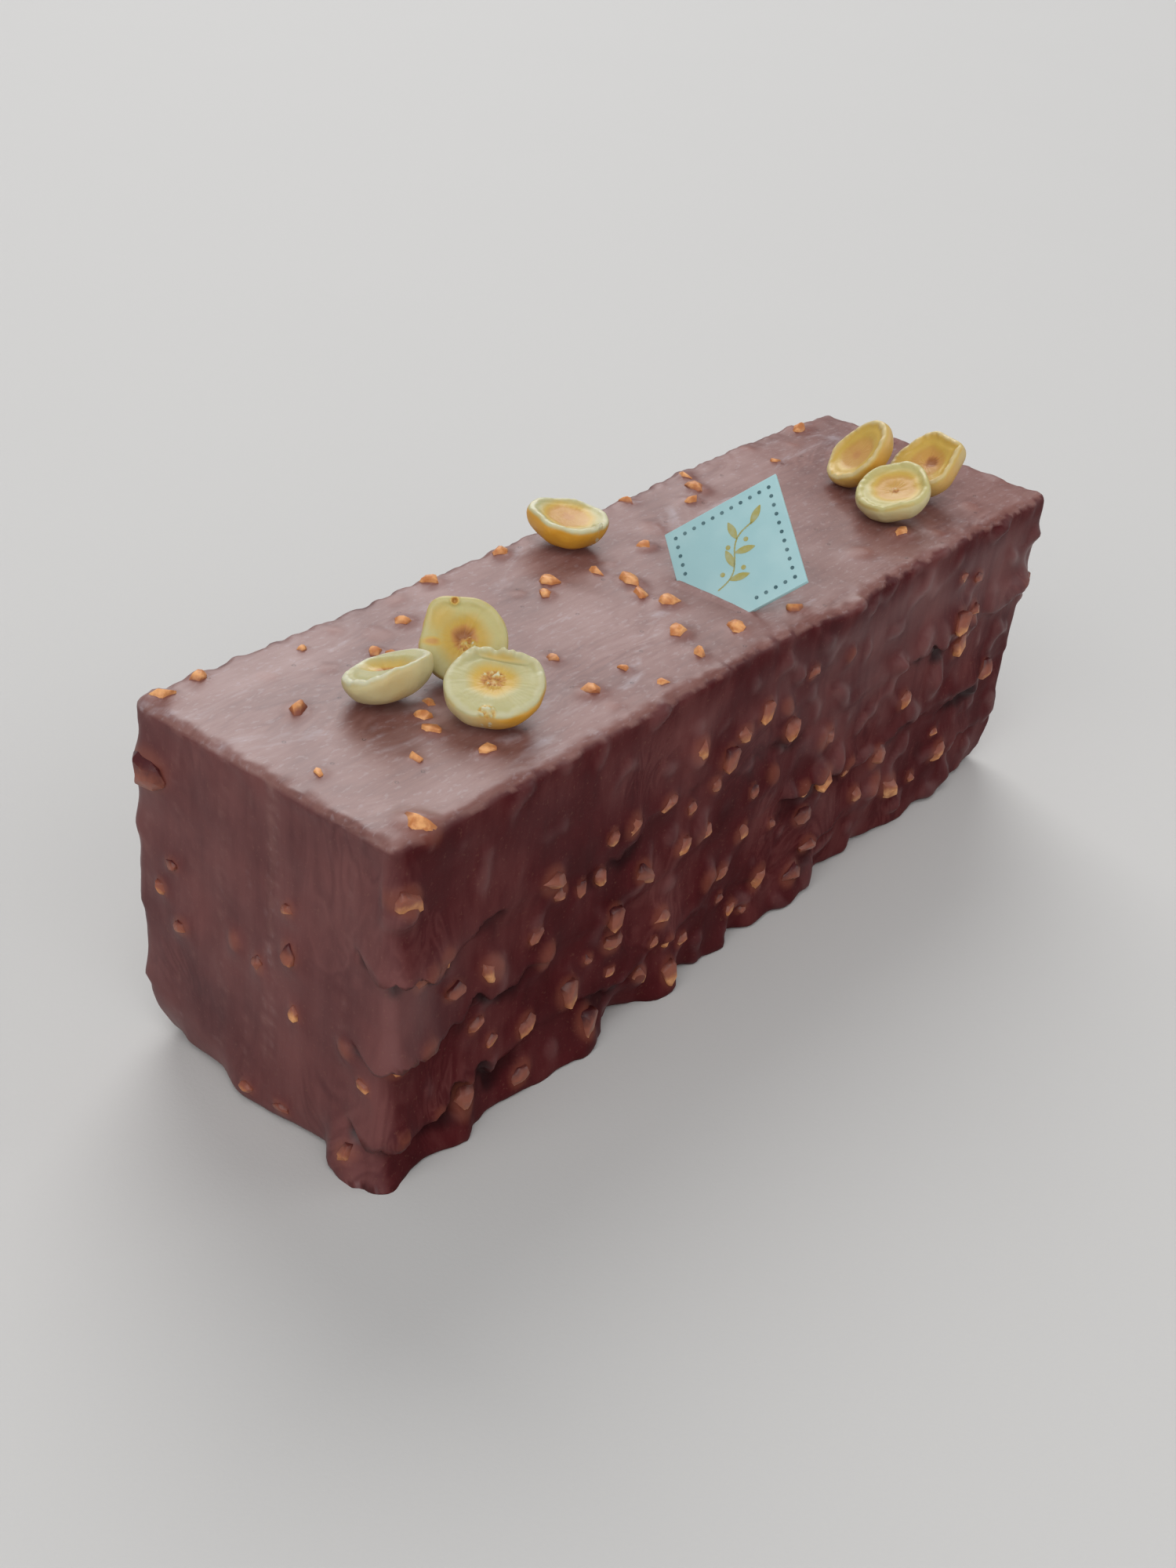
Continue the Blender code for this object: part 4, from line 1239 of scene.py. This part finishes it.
def chocolateMaterial():
    shop = Shop("marbled_chocolate")
    onTop = shop.attribute("roof")
    sheen = shop.attribute("sheen")
    # painted sheen: the walls' colour is made paler where the glaze shines
    tone, lines = glazeTone(shop, onTop, sheen * chocolate["sheenPainted"])
    # painted shade: the creases under the fold lips are darkened
    tone = shop.mixColour(shop.attribute("crease") * chocolate["creaseShadeShare"], tone, chocolate["crease"])
    veil = shop.attribute("veil")  # thinner glaze over the shoulders of the nuts
    brushed = shop.noise(2.2, (0.16, 1, 1), detail=4, roughness=0.6)
    patch = shop.noise(11.0, (0.5, 1, 1), detail=2, distortion=0.6)
    # painted highlight: pale sheen streaks on the top, also less rough there
    sheenStreak = shop.noise(8.0, (0.4, 1, 1), detail=4, roughness=0.65, distortion=0.8).rise(0.55, 0.72) * onTop
    sheenStreak = sheenStreak * brushed.rise(0.3, 0.6)
    dusting = shop.noise(0.7, (0.5, 1, 1), detail=2).rise(0.56, 0.72) * onTop
    pale = sheenStreak * chocolate["sheenStreakShare"] + dusting * chocolate["dustShare"]
    tone = shop.mixColour(pale, tone, chocolate["sheenStreak"])
    filmShare = veil * (chocolate["filmShare"] - onTop * chocolate["filmLessOnTop"])
    colour = shop.mixColour(filmShare, tone, chocolate["film"])
    gloss = (brushed * 0.45 + patch * 0.55).rise(0.32, 0.68)
    rough = gloss * (chocolate["roughHigh"] - chocolate["roughLow"]) + chocolate["roughLow"]
    rough = rough + (1 - onTop) * chocolate["wallRougher"]
    rough = rough - veil * chocolate["filmSmoother"] - sheenStreak * chocolate["sheenStreakSmoother"]
    soft = shop.bumps(shop.noise(5.0, detail=2, roughness=0.4), 0.14)
    ridges = shop.bumps(lines, 0.005, onto=soft)
    brush = shop.bumps(brushed * onTop, 0.04, onto=ridges)
    grain = shop.bumps(shop.noise(0.45, detail=2), 0.03, onto=brush)
    holes = shop.node("TexVoronoi", {"voronoi_dimensions": "2D"},
                      {"Vector": shop.stretched((1, 1, 1), 12.0), "Scale": 1.0})
    pricked = (1 - holes.rise(0.012, 0.028)) * onTop
    pits = shop.bumps(1 - pricked, 0.3, onto=grain)
    return shop.finish(
        Base_Color=colour, Roughness=rough, Normal=pits, IOR=1.45, Specular_IOR_Level=chocolate["specular"],
        Coat_Weight=sheen, Coat_Roughness=chocolate["coatRoughness"],
    )


def choppedMaterial():
    shop = Shop("chopped_nut_in_glaze")
    up = shop.height()
    onWall = chips["filmOnWall"] - up.rise(*chips["topHeights"]) * chips["filmOnWall"]
    # the nuts' glaze takes the top's paler, painted-light tone high up
    tone, _ = glazeTone(shop, up.rise(*chips["topGlazeHeights"]))
    bare = shop.attribute("bare") + (shop.noise(1.0, detail=3) - 0.5) * chips["bareEdge"]
    nut = shop.mixColour(shop.noise(1.4, detail=3).rise(0.35, 0.7), chocolate["amber"], chocolate["nut"])
    nut = shop.mixColour(onWall, nut, chocolate["film"])
    thin = shop.mixColour(bare.rise(-0.7, 0.3), tone, chocolate["film"])
    colour = shop.mixColour(bare.rise(0.35, 1.0), thin, nut)
    rough = 0.38 + bare.rise(0.4, 1.0) * 0.12
    fine = shop.bumps(shop.noise(0.6, detail=3), 0.03)
    return shop.finish(
        Base_Color=colour, Roughness=rough, Normal=fine, Specular_IOR_Level=0.35,
        Subsurface_Weight=0.12, Subsurface_Radius=(0.9, 0.4, 0.15), Subsurface_Scale=0.8 * mm,
    )


kernel = {
    "cream": (0.46, 0.425, 0.21, 1),
    "butter": (0.49, 0.43, 0.17, 1),
    "outside": (0.57, 0.50, 0.265, 1),
    "pale": (0.60, 0.58, 0.41, 1),
    "gold": (0.58, 0.38, 0.075, 1),
    "amber": (0.62, 0.31, 0.03, 1),
    "tan": (0.52, 0.25, 0.07, 1),
    "brown": (0.32, 0.12, 0.035, 1),
}


def kernelMaterial(number, fleshName):
    shop = Shop(f"blanched_hazelnut_{number}")
    mottle = shop.noise(3.0, detail=3, roughness=0.5)
    fine = shop.noise(0.7, detail=2)
    inside = shop.node("ValToRGB", {"stops": (
        (0.0, kernel[fleshName]), (0.38, kernel["gold"]), (0.68, kernel["tan"]), (1.0, kernel["brown"]),
    )}, {"Fac": shop.attribute("brown") + (mottle - 0.5) * 0.16})
    aged = (shop.attribute("amber") + (mottle - 0.5) * 0.3).rise(0.1, 0.95)
    back = shop.mixColour(aged, kernel["outside"], kernel["amber"])
    skin = shop.mixColour(shop.attribute("face").rise(0.2, 0.8), back, inside)
    colour = shop.mixColour(shop.attribute("pale").rise(0.0, 1.0), skin, kernel["pale"])
    waxy = shop.bumps(fine, 0.04, onto=shop.bumps(mottle, 0.12))
    return shop.finish(
        Base_Color=colour, Roughness=0.34 + mottle * 0.14, Normal=waxy, Subsurface_Weight=0.2,
        Subsurface_Radius=(0.9, 0.55, 0.2), Subsurface_Scale=1.4 * mm, IOR=1.45,
    )


sugar = {
    "plain": (0.34, 0.55, 0.57, 1),
    "pale": (0.41, 0.61, 0.62, 1),
    "gold": (0.37, 0.32, 0.07, 1),
    "teal": (0.035, 0.10, 0.115, 1),
    "printWorn": 0.25,
}


def printMaterial(name, colour):
    shop = Shop(name)
    worn = shop.noise(1.2, detail=3).rise(0.3, 0.75) * sugar["printWorn"]
    return shop.finish(
        Base_Color=shop.mixColour(worn, colour, sugar["pale"]), Roughness=0.5,
        Normal=shop.bumps(shop.noise(0.3, detail=2), 0.01),
    )


def plaqueMaterial():
    shop = Shop("pale_aqua_plaque")
    cloud = shop.noise(6.0, detail=3)
    colour = shop.mixColour(cloud.rise(0.35, 0.75) * 0.6, sugar["plain"], sugar["pale"])
    fine = shop.noise(0.8, detail=3)
    return shop.finish(
        Base_Color=colour, Roughness=0.38 + cloud * 0.12, Normal=shop.bumps(fine, 0.02),
        Subsurface_Weight=0.1, Subsurface_Radius=(0.6, 0.9, 0.9), Subsurface_Scale=0.6 * mm,
    )


contacts = []
for number, (values, own) in enumerate(zip(halves, halfLooks), 1):
    looks = {**halfUsual, **own}
    half, contact = makeHalf(number, values, looks)
    contacts.append(contact)
    name = f"hazelnut_half_{number}"
    handIn(half, f"{name}_detailed", kernelMaterial(number, looks["flesh"]), [name])
print("hazelnut halves made:", len(contacts))

wraps = wrapBits()
coated = makeCoat(contacts, wraps)
handIn(coated, "glaze_coat", chocolateMaterial(), ["glazed_cake"])
print("coat made:", len(coated.data.polygons), "faces")
chopped = handIn(makeChips(wraps), "chopped_nuts", choppedMaterial())
print("chopped nuts made:", len(chopped.data.polygons), "faces")
handIn(makePlaque(), "lozenge_plaque", plaqueMaterial(), ["plaque"])
handIn(makeSprig(), "plaque_sprig", printMaterial("gold_print", sugar["gold"]))
handIn(makeBeads(), "plaque_beads", printMaterial("teal_print", sugar["teal"]))
print("plaque and its print made")

# Stage, light and camera

studio = {
    "floorHalf": 8.0,
    "floor": (0.56, 0.55, 0.535, 1),
    "floorPatch": (0.62, 0.61, 0.59, 1),
    "air": (0.72, 0.74, 0.78, 1),
    "airStrength": 0.34,
    # name: (bearing, height angle, width as an angle, strength)
    "lamps": {
        "back": (48, 38, 42, 1.7),
        "above": (210, 66, 30, 0.6),
        "left": (186, 32, 50, 1.06),
        "front": (244, 24, 60, 0.62),
        "right": (318, 26, 36, 0.42),
    },
}
view = {
    "azimuth": -54.75,
    "elevation": 31.89,
    "roll": 7.10,
    "distance": 336.7,
    "aside": (-8.3, -8.7),
    "aimHeight": 28.725,
    "focalLength": 45.49,
    "sensorHeight": 36.0,
}

bpy.ops.object.select_all(action="DESELECT")
bpy.ops.mesh.primitive_plane_add(size=2 * studio["floorHalf"], location=(0, 0, 0))
floor = bpy.context.object
floor.name = "floor"
paper = Shop("pale_paper")
tint = paper.noise(60.0, detail=2)
floor.data.materials.append(paper.finish(
    Base_Color=paper.mixColour(tint * 0.1, studio["floor"], studio["floorPatch"]),
    Roughness=0.75, Normal=paper.bumps(paper.noise(0.6, detail=2), 0.03),
))

world = bpy.data.worlds.new("soft_air")
world.use_nodes = True
world.node_tree.nodes["Background"].inputs["Color"].default_value = studio["air"]
world.node_tree.nodes["Background"].inputs["Strength"].default_value = studio["airStrength"]
bpy.context.scene.world = world

for name, (bearing, rise, wide, strength) in studio["lamps"].items():
    bearing, rise = math.radians(bearing), math.radians(rise)
    toLamp = Vector((
        math.cos(bearing) * math.cos(rise), math.sin(bearing) * math.cos(rise), math.sin(rise)
    ))
    turned = toLamp.to_track_quat("Z", "Y").to_euler()
    bpy.ops.object.light_add(type="SUN", location=toLamp, rotation=turned)
    lamp = bpy.context.object
    lamp.name = f"{name}_light"
    lamp.data.angle = math.radians(wide)
    lamp.data.energy = strength

azimuth, elevation, roll = (math.radians(view[name]) for name in ("azimuth", "elevation", "roll"))
backward = Vector((
    math.sin(azimuth) * math.cos(elevation), -math.cos(azimuth) * math.cos(elevation), math.sin(elevation)
))
level = (-backward).cross(Vector((0, 0, 1))).normalized()
upright = level.cross(-backward)
rightward = level * math.cos(roll) + upright * math.sin(roll)
upward = upright * math.cos(roll) - level * math.sin(roll)
spot = Vector((0, 0, view["aimHeight"])) + backward * view["distance"]
spot += rightward * view["aside"][0] + upward * view["aside"][1]
bpy.ops.object.camera_add()
camera = bpy.context.object
camera.data.sensor_fit = "VERTICAL"
camera.data.sensor_height = view["sensorHeight"]
camera.data.lens = view["focalLength"]
camera.data.clip_start = 0.01
turned = Matrix((rightward, upward, backward)).transposed().to_4x4()
camera.matrix_world = Matrix.Translation(spot * mm) @ turned
bpy.context.scene.camera = camera
bpy.context.scene.view_settings.view_transform = "Standard"
print("stage, light and camera set")
